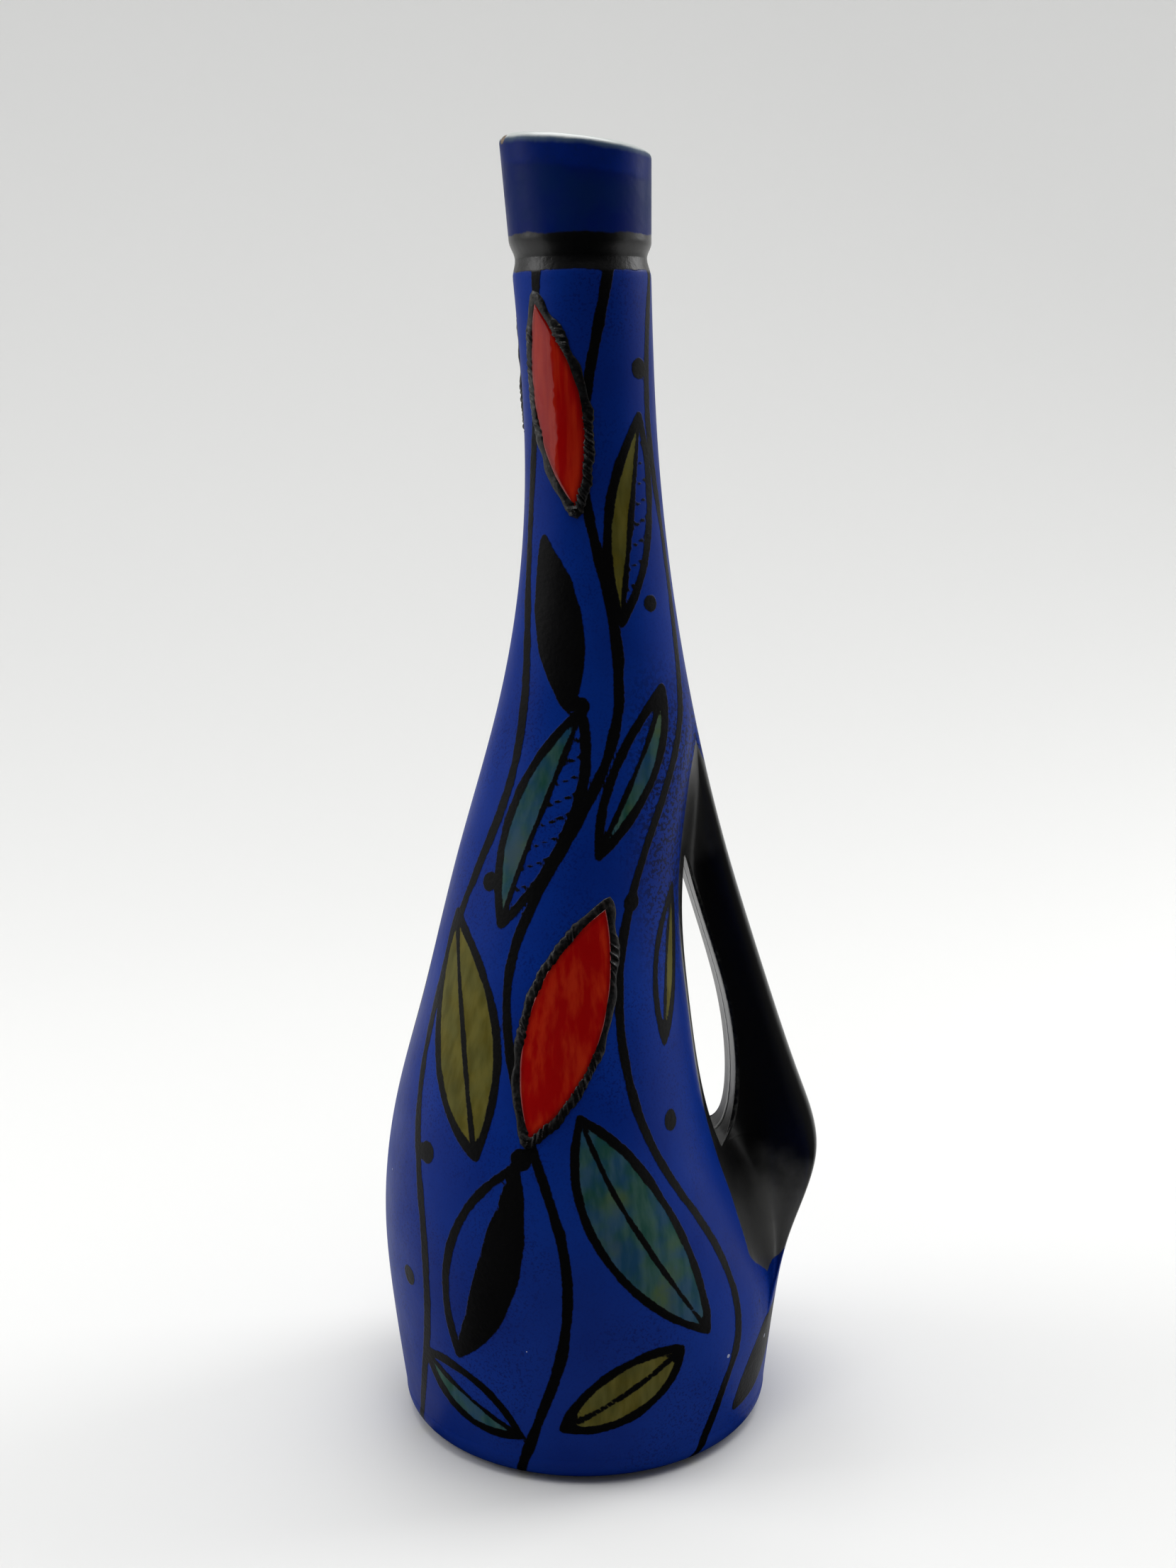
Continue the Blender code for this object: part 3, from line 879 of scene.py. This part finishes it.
def wall_glaze(colours):
    """Satin cobalt with the brush work, black in the scoops, pale inside and bare clay underneath."""
    finish = Finish("painted_glaze")
    wobble = (finish.noise(7.0) - 0.5) * 1.1 + (finish.noise(0.8, 3.0) - 0.5) * 0.5
    line = (finish.attribute("line_gap") + wobble).painted()
    olive = (finish.attribute("olive_gap") + wobble).painted()
    teal = (finish.attribute("teal_gap") + wobble).painted()
    black_gap = finish.attribute("black_gap")
    scoop = (black_gap + wobble * 0.7).painted()
    border = abs(black_gap + wobble).eased(0.1, 0.7, 1.0, 0.0)
    arris = abs(finish.attribute("cut_gap")).eased(0.1, 0.9, 1.0, 0.0)
    inside = finish.attribute("inside")
    bare = finish.axis("Z").eased(*BARE_MM, 1.0, 0.0)
    pits = finish.specks(9.0, 0.55, 0.16)
    scuffs = finish.specks(12.0, 0.80, 0.22)
    worn = finish.largest(arris, border) * finish.noise(1.1, 4.0).eased(0.45, 0.75, 0.0, 0.7)
    olive_wash, teal_wash = field_washes(finish, colours)
    clay = finish.mix(finish.noise(1.1, 4.0), colours.clay, colours.clay_light)
    tone = finish.layered(
        blue_ground(finish, colours),
        (olive, olive_wash),
        (teal, teal_wash),
        (line, colours.black),
        (scuffs * 0.75, colours.scuff),
        (pits * 0.6, colours.black),
        # The scoops' black, with its painted reflection
        (scoop, scoop_black_and_reflection(finish, colours)),
        (worn, colours.worn),
        (inside, colours.lining),
        (bare, clay),
    )
    groove = finish.axis("Z").eased(*GROOVE_BAND_MM, 0.0, 0.6)
    satin = finish.noise(18.0).eased(0.3, 0.7, 0.40, 0.50)
    finish.surface({
        "Base Color": tone,
        "Specular IOR Level": SATIN_SHINE,
        "Coat Weight": finish.largest(scoop, inside, groove),
        "Coat Roughness": 0.35,
        "Roughness": finish.math("ADD", satin, bare * 0.40, clamp=True),
    })
    peel = finish.noise(1.5) * 0.035
    swell = finish.noise(9.0) * 0.16
    laid = finish.largest(olive, teal, line) * 0.05
    brush = line * finish.noise(0.9, 3.0) * 0.09
    rough_cut = arris * finish.noise(0.9, 4.0) * 0.30
    sunk = finish.largest(pits, scuffs) * -0.07
    finish.relief(peel + swell + laid + brush + rough_cut + sunk)
    return finish.material


def lip_glaze(colours, chip):
    """Navy glaze that breaks pale on the rim, with an overlap line, a pale lining and one small chip."""
    finish = Finish("lip_glaze")
    height = finish.axis("Z")
    wobble = (finish.noise(3.5, 3.0) - 0.5) * 1.6
    rim_gap = finish.attribute("rim_gap")
    pale = (rim_gap + wobble * 0.35).eased(-0.5, 0.45)
    halo = (rim_gap + wobble * 0.7).eased(-1.7, -0.2)
    overlap = (height + finish.axis("X") * 0.12 + wobble).eased(*OVERLAP_MM, 0.0, 0.7)
    black = (height - LIP_BLACK_MM + wobble).painted(0.25)
    grain = finish.noise(0.6).eased(0.54, 0.7, 0.0, 0.45)
    scuffs = finish.specks(7.0, 0.5, 0.2) * finish.math("SUBTRACT", 0.7, pale, clamp=True)
    ends = {0: finish.place_mm, 1: [1000 * number for number in chip]}
    away = finish.node("ShaderNodeVectorMath", ends, "Value", operation="DISTANCE")
    broken = (away + wobble).eased(1.5, 1.9, 1.0, 0.0)
    cloud = finish.noise(11.0, 3.0).eased(0.3, 0.7)
    tone = finish.layered(
        finish.mix(cloud, colours.navy, colours.cobalt_dark),
        (overlap, finish.mix(cloud, colours.cobalt_dark, colours.cobalt)),
        (grain, colours.navy),
        (black, colours.black),
        (halo * 0.6, colours.rim_edge),
        (pale, colours.lining),
        (scuffs, colours.scuff),
        (broken, finish.mix(finish.noise(0.5, 3.0), colours.clay, colours.clay_dark)),
    )
    satin = finish.noise(9.0).eased(0.3, 0.7, 0.34, 0.44)
    finish.surface({
        "Base Color": tone,
        "Specular IOR Level": SATIN_SHINE,
        "Coat Weight": finish.largest(pale, black * 0.6),
        "Coat Roughness": 0.3,
        "Roughness": finish.math("ADD", satin, broken * 0.45, clamp=True),
    })
    peel = finish.noise(1.4) * 0.035
    swell = finish.noise(7.0) * 0.15
    finish.relief(peel + swell + overlap * 0.05 + broken * finish.noise(0.6, 4.0) * 0.35)
    return finish.material


def red_enamel(colours):
    """Thick glossy enamel, deeper in tone where it is thin, with drawn-out streaks and a few bubbles."""
    finish = Finish("red_enamel")
    streak = finish.noise(2.4, 4.0, (0.1, 0.2, 0.0), (1.0, 1.0, 0.09)).eased(0.42, 0.70)
    thin = finish.attribute("edge_mm").eased(0.2, 1.8, 1.0, 0.0)
    bubbles = finish.specks(4.5, 0.34, 0.22)
    tone = finish.layered(
        finish.mix(streak, colours.red, colours.red_light),
        (thin * 0.75, colours.red_dark),
        (bubbles * 0.7, colours.red_dark),
    )
    finish.surface({"Base Color": tone, "Roughness": finish.noise(6.0).eased(0.3, 0.7, 0.07, 0.15)})
    finish.relief(finish.noise(5.0) * 0.22 + finish.noise(1.6) * 0.02 + bubbles * -0.08)
    return finish.material


def contour_crust(colours):
    """Black outline paste that blistered in the fire."""
    finish = Finish("black_crust")
    blister = finish.noise(0.9, 4.0)
    finish.surface({
        "Base Color": finish.mix(blister.eased(0.50, 0.78, 0.0, 0.7), colours.black, colours.crust),
        "Specular IOR Level": 0.3,
        "Roughness": finish.noise(1.5, 3.0).eased(0.3, 0.7, 0.28, 0.55),
    })
    finish.relief(blister * 0.14 + finish.noise(2.4) * 0.18)
    return finish.material


def material_of(name, make, *values):
    """A finish that is made once and shared by its pieces."""
    return bpy.data.materials.get(name) or make(*values)


def painted_piece(context, name, rows):
    """A piece in the painted glaze, from rows of points with their painted distances."""
    rings = [points for points, values in rows]
    gaps = {key: [values[key] for points, values in rows] for key in rows[0][1]}
    glaze = material_of("painted_glaze", wall_glaze, context.scene.jug_colours)
    return skin(name, rings, glaze, gaps, context.scene.jug_brush.line_width * 1000)


def colour_prop(name, default, description):
    return bpy.props.FloatVectorProperty(
        name=name, description=description, default=(*default, 1.0), subtype="COLOR", size=4,
        min=0.0, max=1.0,
    )


def length_prop(name, default, description, precision=2):
    return bpy.props.FloatProperty(
        name=name, description=description, default=default, unit="LENGTH", precision=precision,
    )


def angle_prop(name, degrees, description):
    return bpy.props.FloatProperty(
        name=name, description=description, default=math.radians(degrees), subtype="ANGLE",
    )


class JugColours(bpy.types.PropertyGroup):
    """Colours of the glazes, the enamel and the clay."""

    cobalt: colour_prop("Cobalt", (0.0006, 0.0165, 0.172), "Ground glaze of the body")
    cobalt_light: colour_prop("Cobalt, thin", (0.0010, 0.0255, 0.228), "Ground glaze where it lies thin")
    cobalt_dark: colour_prop("Cobalt, thick", (0.0006, 0.0085, 0.104), "Ground glaze where it lies thick")
    navy_deep: colour_prop("Navy, crawled", (0.0006, 0.0040, 0.030), "Dark specks beside the slot")
    navy: colour_prop("Navy", (0.0016, 0.0145, 0.090), "Glaze of the lip")
    olive: colour_prop("Olive", (0.076, 0.062, 0.0045), "Olive fields")
    olive_light: colour_prop("Olive, thin", (0.120, 0.104, 0.018), "Olive fields where the brush left less")
    teal: colour_prop("Teal", (0.009, 0.052, 0.040), "Teal fields")
    teal_light: colour_prop("Teal, thin", (0.036, 0.088, 0.072), "Teal fields where the brush left less")
    lime: colour_prop("Lime", (0.064, 0.100, 0.022), "Yellow-green patches in the teal fields")
    black: colour_prop("Black", (0.0025, 0.0025, 0.0028), "Brush lines, the groove and the scoops")
    # Grey of the painted reflection in the scoops
    painted_reflection_grey: colour_prop("Painted reflection", (0.100, 0.100, 0.096), "Painted reflection on the black of the scoops")
    red: colour_prop("Red", (0.29, 0.0022, 0.0022), "Raised enamel fields")
    red_light: colour_prop("Red, bright", (0.39, 0.019, 0.0050), "Streaks in the raised enamel")
    red_dark: colour_prop("Red, thin", (0.14, 0.0015, 0.0015), "Enamel at its edges")
    crust: colour_prop("Crust", (0.030, 0.022, 0.020), "Blistered parts of the contours")
    scuff: colour_prop("Scuff", (0.42, 0.45, 0.55), "Small chips and scratches in the glaze")
    worn: colour_prop("Worn edge", (0.060, 0.064, 0.052), "Glaze worn thin along the slot and the scoops")
    lining: colour_prop("Lining", (0.60, 0.63, 0.61), "Pale glaze of the rim and the inside")
    rim_edge: colour_prop("Rim edge", (0.10, 0.15, 0.16), "Where the navy breaks to the pale rim")
    clay: colour_prop("Clay", (0.30, 0.235, 0.175), "Bare clay of the underside")
    clay_light: colour_prop("Clay, dry", (0.42, 0.35, 0.28), "Bare clay where it is dusty")
    clay_dark: colour_prop("Clay, fired", (0.12, 0.085, 0.065), "Clay in a fresh break")
    floor: colour_prop("Floor", (0.77, 0.77, 0.76), "Paper sweep that the jug stands on")


class JugBrush(bpy.types.PropertyGroup):
    """Sizes of the brush work and the raised enamel."""

    line_width: length_prop("Line width", 0.0025, "Width of a brush line", 4)
    enamel_height: length_prop("Enamel height", 0.00042, "How far the red enamel stands off the wall", 5)
    contour_width: length_prop("Contour width", 0.0026, "Width of the raised black contours", 4)
    contour_height: length_prop("Contour height", 0.00062, "How far the contours stand off the wall", 5)


class JugStage(bpy.types.PropertyGroup):
    """The camera and the paper sweep."""

    camera_place: bpy.props.FloatVectorProperty(
        name="Camera place", description="Where the camera stands", default=(-0.1003, -0.4417, 0.2512),
        size=3, subtype="TRANSLATION", unit="LENGTH",
    )
    camera_turn: angle_prop("Camera turn", 13.0, "How far the view is turned from +Y towards +X")
    camera_tilt: angle_prop("Camera tilt", 11.87, "How far the view looks down")
    camera_roll: angle_prop("Camera roll", -0.362, "How far the camera leans sideways")
    lens: bpy.props.FloatProperty(
        name="Lens", description="Focal length on a 36 mm frame", default=44.97, subtype="DISTANCE_CAMERA",
    )
    near_start: angle_prop("Near side's end", -35, "Where the sweep's side towards the camera ends, from +X")
    near_side: angle_prop("Near side", 130, "Width of the sweep's side towards the camera")
    sweep_flat: length_prop("Flat floor", 0.42, "Radius of the flat part of the sweep")
    sweep_rise: length_prop("Sweep rise", 1.1, "Radius of the curve that the sweep rises in")
    sweep_top: angle_prop("Sweep top", 88, "How steep the sweep is at its top")


class JUG_OT_foot(bpy.types.Operator):
    """Builds the floor of the jug with its rounded edge and bare underside"""

    bl_idname = "jug.foot"
    bl_label = "Foot"

    def execute(self, context):
        turn = np.linspace(0.0, 2 * math.pi, TURN_POINTS + 1)

        def row(radius, z):
            points = np.column_stack([radius * np.cos(turn), radius * np.sin(turn), np.full(len(turn), z)])
            return points, unpainted(len(turn), 0.0)

        rows = []
        for share in np.linspace(0.0, 1.0, FLOOR_ROWS)[:-1]:
            rows.append(row(share * (FOOT_REACH - FOOT_ROUND), 0.0))
        for a in np.linspace(0.0, math.pi / 2, FOOT_EDGE_ROWS):
            rows.append(row(FOOT_REACH - FOOT_ROUND * (1 - math.sin(a)), FOOT_ROUND * (1 - math.cos(a))))
        rows += [row(FOOT_REACH, FOOT_TOP), row(0.0, FOOT_TOP)]
        foot = painted_piece(context, "glazed_foot", rows)
        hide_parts("foot")
        return {"FINISHED"}


class JUG_OT_walls(bpy.types.Operator):
    """Builds the hollow sections of the body: belly, shoulder and neck"""

    bl_idname = "jug.walls"
    bl_label = "Belly, shoulder and neck"

    def execute(self, context):
        sections = [
            ("belly", FOOT_TOP, SLOT_LOW, Level.whole),
            ("shoulder", SLOT_LOW, SLOT_HIGH, Level.body_only),
            ("neck", SLOT_HIGH, GROOVE, Level.whole),
        ]
        for node, low, high, outline in sections:
            section = painted_piece(context, "glazed_" + node, shell(low, high, outline))
            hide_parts(node)
        return {"FINISHED"}


class JUG_OT_handle(bpy.types.Operator):
    """Builds the strap handle on the far side of the slot"""

    bl_idname = "jug.handle"
    bl_label = "Handle"

    def execute(self, context):
        rows = [Level(z).strap_only() for z in ring_heights(SLOT_LOW, SLOT_HIGH, HANDLE_STEP)]
        rows = [closed_up(rows[0])] + rows + [closed_up(rows[-1])]
        handle = painted_piece(context, "glazed_handle", rows)
        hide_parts("handle")
        return {"FINISHED"}


class JUG_OT_lip(bpy.types.Operator):
    """Builds the ring above the groove, with its rounded rim, beak and chip"""

    bl_idname = "jug.lip"
    bl_label = "Lip"

    def execute(self, context):
        turn = np.linspace(0.0, 2 * math.pi, TURN_POINTS + 1)
        beak = ((1 - np.cos(turn)) / 2)**SPOUT_SHARPNESS
        top = RIM - RIM_DROP * (1 + np.cos(turn)) / 2
        shoulder = top - LIP_WALL / 2
        groove_radius = NECK_TOP_RADIUS - GROOVE_DEPTH

        def ring(radius, z):
            return np.column_stack([NECK_TOP_SHIFT + radius * np.cos(turn), radius * np.sin(turn), z])

        def outer(share):
            flank = ease(share * (RIM - GROOVE) / GROOVE_HALF)
            return blend(groove_radius, LIP_RADIUS, flank) + SPOUT_REACH * share * beak

        def wall(share):
            return blend(WALL, LIP_WALL, share)

        shares = np.linspace(0.0, 1.0, LIP_ROWS)
        outside = [ring(outer(s), GROOVE + (shoulder - GROOVE) * s) for s in shares]
        inside = [ring(outer(s) - wall(s), GROOVE + (shoulder - GROOVE) * s) for s in reversed(shares)]
        angles = np.linspace(0.0, math.pi, RIM_ROWS)[1:-1]
        half = LIP_WALL / 2
        middle = outer(1.0) - half
        rim = [ring(middle + half * math.cos(a), shoulder + half * math.sin(a)) for a in angles]
        rings = np.array(outside + rim + inside + outside[:1])
        outside_gap = [(s - 1) * (RIM - GROOVE) * 1000 - RIM_PALE_MM for s in shares]
        rim_gap = [a * LIP_WALL * 500 - RIM_PALE_MM for a in angles]
        gaps = outside_gap + rim_gap + [LINING_MM] * len(inside) + outside_gap[:1]
        values = {"rim_gap": np.repeat(np.array(gaps)[:, None], len(turn), axis=1)}

        tip = len(turn) // 2 + 3
        chip = rings[len(outside) + len(rim) // 4, tip]
        near = np.exp(-(np.linalg.norm(rings - chip, axis=2) / CHIP_RADIUS)**2)
        inward = np.array([-math.cos(turn[tip]), -math.sin(turn[tip]), -CHIP_SLOPE])
        rings = rings + near[:, :, None] * inward * CHIP_DEPTH
        glaze = material_of("lip_glaze", lip_glaze, context.scene.jug_colours, chip)
        lip = skin("glazed_lip", rings, glaze, values)
        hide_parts("lip")
        return {"FINISHED"}


class JUG_OT_enamel(bpy.types.Operator):
    """Builds the raised red fields and the crusty contours round them"""

    bl_idname = "jug.enamel"
    bl_label = "Raised enamel"

    def execute(self, context):
        brush = context.scene.jug_brush
        enamel = material_of("red_enamel", red_enamel, context.scene.jug_colours)
        crust = material_of("black_crust", contour_crust, context.scene.jug_colours)
        for place, leaf in ENAMEL_LEAVES.items():
            for back in (False, True):
                name = place + ("_back" if back else "_front")
                self.field("enamel_" + name, leaf, back, brush, enamel)
                self.contour("contour_" + name, leaf, back, brush, crust)
        return {"FINISHED"}

    def half_width(self, leaf, along):
        """Millimetres from a leaf's rib to its edge."""
        radius = (leaf.length**2 + leaf.width**2) / (2 * leaf.width)
        return np.sqrt(radius**2 - along**2) - (radius - leaf.width)

    def field(self, name, leaf, back, brush, material):
        """A cushion of enamel with rounded edges, sunk a little into the wall."""
        inner = leaf._replace(length=leaf.length - FIELD_SHORTER_MM, width=leaf.width - FIELD_NARROWER_MM)
        turn = np.linspace(0.0, 2 * math.pi, FIELD_POINTS)
        rings = []
        edges = []
        for share in np.sin(np.linspace(-1.0, 1.0, FIELD_ROWS) * math.pi / 2):
            along = np.full(len(turn), share * inner.length)
            across = self.half_width(inner, along) * np.cos(turn)
            edge = np.maximum(-leaf_gap(inner, across, along), 0.0)
            slope = 1 - np.clip(edge / FIELD_ROUND_MM, 0, 1)
            top = brush.enamel_height * 1000 * np.sqrt(1 - slope**2)
            uneven = 1 + 0.16 * ripple(along + 0.6 * across, len(name), 5, 7.0)
            rise = np.where(np.sin(turn) >= 0, top * uneven, -SUNK_MM)
            rings.append(leaf_to_wall(inner, across, along, rise, back))
            edges.append(edge)
        return skin(name, rings, material, {"edge_mm": edges})

    def contour(self, name, leaf, back, brush, material):
        """A lumpy cord that runs round the field, half sunk into the wall."""
        run = np.linspace(-1.0, 1.0, CONTOUR_ROWS)
        side = self.half_width(leaf, run * leaf.length)
        across = np.concatenate([side, -side[::-1][1:]])
        along = np.concatenate([run, run[::-1][1:]]) * leaf.length
        path = np.stack([across, along], axis=-1)
        round_trip = np.concatenate([path[-2:-1], path, path[1:2]])
        tangent = round_trip[2:] - round_trip[:-2]
        tangent /= np.linalg.norm(tangent, axis=1, keepdims=True)
        normal = np.stack([tangent[:, 1], -tangent[:, 0]], axis=-1)
        distance = distances(path)
        closing = 2 * math.pi * distance / distance[-1]
        chance = np.random.default_rng(len(name) + 40 * back)

        def waves(low, high, count):
            """An uneven closed line from a few waves of chance length and phase."""
            turns = chance.integers(low, high, count)
            phases = chance.uniform(0, 2 * math.pi, count)
            return sum(np.sin(closing * k + phase) for k, phase in zip(turns, phases)) / math.sqrt(count)

        crusty = ease(0.35 + 0.7 * waves(2, 6, 3))
        width = 1 + 0.13 * waves(4, 16, 5) + 0.10 * crusty * waves(24, 70, 7)
        height = 0.62 + 0.16 * waves(5, 20, 5) + 0.38 * crusty
        sway = 0.14 * waves(6, 22, 5)
        section = np.linspace(0.0, 2 * math.pi, CONTOUR_POINTS)
        rings = []
        for i, (point, out) in enumerate(zip(path, normal)):
            spread = brush.contour_width * 500 * width[i] * np.cos(section) + sway[i]
            pits = ripple(closing[i] * 34 + 2.3 * np.cos(section), 5 + back, 6, 1.6)
            pitted = 1 + 0.55 * crusty[i] * pits
            top = brush.contour_height * 1000 * np.clip(height[i] * pitted, 0.25, 1.7) * np.sin(section)
            rise = np.where(np.sin(section) >= 0, top, SUNK_MM * np.sin(section))
            place = point + out * spread[:, None]
            rings.append(leaf_to_wall(leaf, place[:, 0], place[:, 1], rise, back))
        return skin(name, rings, material)


class JUG_OT_stage(bpy.types.Operator):
    """Builds the paper sweep, the soft light and the camera"""

    bl_idname = "jug.stage"
    bl_label = "Stage"

    def execute(self, context):
        stage = context.scene.jug_stage
        self.sweep(context, stage)
        self.light(context)
        self.camera(context, stage)
        return {"FINISHED"}

    def sweep(self, context, stage):
        """A round paper sweep, flat under the jug and rising all round it.

        Its side towards the camera isn't mirrored in the glaze, and the wall there lends no light.
        """
        paper = Finish("sweep_paper")
        paper.surface({
            "Base Color": context.scene.jug_colours.floor,
            "Roughness": 0.9,
            "Specular IOR Level": 0.1,
        })
        flat = [(0.0, 0.0), (stage.sweep_flat, 0.0)]
        rise = [
            (stage.sweep_flat + stage.sweep_rise * math.sin(a), stage.sweep_rise * (1 - math.cos(a)))
            for a in np.linspace(0.0, stage.sweep_top, SWEEP_ROWS)
        ]
        start = stage.near_start
        near = start - stage.near_side
        self.paper("paper_far", flat + rise[1:], start, 2 * math.pi - stage.near_side, paper.material)
        floor = self.paper("paper_near", flat, near, stage.near_side, paper.material)
        floor.visible_glossy = False
        wall = self.paper("paper_behind", rise, near, stage.near_side, paper.material)
        wall.visible_glossy = False
        wall.visible_diffuse = False

    def paper(self, name, profile, start, angle, material):
        """A sheet spun from a profile of (reach, height) round the jug's axis."""
        sheet = bmesh.new()
        line = [sheet.verts.new((r * math.cos(start), r * math.sin(start), z)) for r, z in profile]
        edges = [sheet.edges.new(pair) for pair in zip(line, line[1:])]
        bmesh.ops.spin(
            sheet, geom=line + edges, axis=(0, 0, 1), cent=(0, 0, 0), angle=angle, steps=SWEEP_STEPS,
        )
        bmesh.ops.remove_doubles(sheet, verts=sheet.verts, dist=PAPER_WELD)
        bmesh.ops.recalc_face_normals(sheet, faces=sheet.faces)
        if sum(face.normal.z for face in sheet.faces) < 0:
            bmesh.ops.reverse_faces(sheet, faces=sheet.faces)
        piece = piece_of(name, sheet, material)
        return piece

    def light(self, context):
        """Soft light from above and from both sides, with a dim room in front."""
        world = bpy.data.worlds.new("studio_air")
        context.scene.world = world
        world.use_nodes = True
        background = world.node_tree.nodes["Background"]
        background.inputs["Color"].default_value = (0.93, 0.96, 1.0, 1.0)
        background.inputs["Strength"].default_value = 0.08
        world.cycles_visibility.glossy = False
        # Name, place, aim, width, height and power in watts
        boxes = [
            ("overhead", (0.05, 0.05, 1.6), (0.0, 0.0, 0.05), 1.4, 1.4, 25.0),
            ("left", (-0.66, 0.12, 0.52), (0.0, 0.0, 0.14), 0.35, 0.45, 1.9),
            ("right", (0.68, 0.10, 0.54), (0.0, 0.0, 0.16), 0.35, 0.45, 2.15),
        ]
        for name, place, target, width, height, power in boxes:
            lamp = bpy.data.lights.new("softbox_" + name, "AREA")
            lamp.shape = "RECTANGLE"
            lamp.size = width
            lamp.size_y = height
            lamp.energy = power
            holder = bpy.data.objects.new("softbox_" + name, lamp)
            holder.location = place
            holder.rotation_mode = "QUATERNION"
            holder.rotation_quaternion = (Vector(target) - Vector(place)).to_track_quat("-Z", "Y")
            context.scene.collection.objects.link(holder)
        context.scene.view_settings.view_transform = "Standard"

    def camera(self, context, stage):
        """The camera of the photograph."""
        lens = bpy.data.cameras.new("camera")
        lens.lens = stage.lens
        lens.sensor_width = 36.0
        camera = bpy.data.objects.new("camera", lens)
        camera.location = stage.camera_place
        level = math.cos(stage.camera_tilt)
        sideways = math.sin(stage.camera_turn) * level
        ahead = Vector((sideways, math.cos(stage.camera_turn) * level, -math.sin(stage.camera_tilt)))
        camera.rotation_mode = "QUATERNION"
        lean = Quaternion((0, 0, 1), stage.camera_roll)
        camera.rotation_quaternion = ahead.to_track_quat("-Z", "Y") @ lean
        context.scene.collection.objects.link(camera)
        context.scene.camera = camera


class JUG_PT_build(bpy.types.Panel):
    """Lists the jug's pieces and their settings."""

    bl_idname = "JUG_PT_build"
    bl_label = "Painted jug"
    bl_space_type = "VIEW_3D"
    bl_region_type = "UI"
    bl_category = "Jug"

    def draw(self, context):
        for operator in OPERATORS:
            self.layout.operator(operator.bl_idname)
        for group in (context.scene.jug_brush, context.scene.jug_colours, context.scene.jug_stage):
            box = self.layout.box()
            for key in group.__annotations__:
                box.prop(group, key)


GROUPS = {"jug_colours": JugColours, "jug_brush": JugBrush, "jug_stage": JugStage}
OPERATORS = (JUG_OT_stage, JUG_OT_foot, JUG_OT_walls, JUG_OT_handle, JUG_OT_lip, JUG_OT_enamel)


def register():
    for group in GROUPS.values():
        bpy.utils.register_class(group)
    for key, group in GROUPS.items():
        setattr(bpy.types.Scene, key, bpy.props.PointerProperty(type=group))
    for operator in OPERATORS:
        bpy.utils.register_class(operator)
    bpy.utils.register_class(JUG_PT_build)


def unregister():
    bpy.utils.unregister_class(JUG_PT_build)
    for operator in reversed(OPERATORS):
        bpy.utils.unregister_class(operator)
    for key in GROUPS:
        delattr(bpy.types.Scene, key)
    for group in reversed(GROUPS.values()):
        bpy.utils.unregister_class(group)


def main():
    register()
    bpy.ops.jug.stage()
    bpy.ops.jug.foot()
    bpy.ops.jug.walls()
    bpy.ops.jug.handle()
    bpy.ops.jug.lip()
    bpy.ops.jug.enamel()


if __name__ == "__main__":
    main()
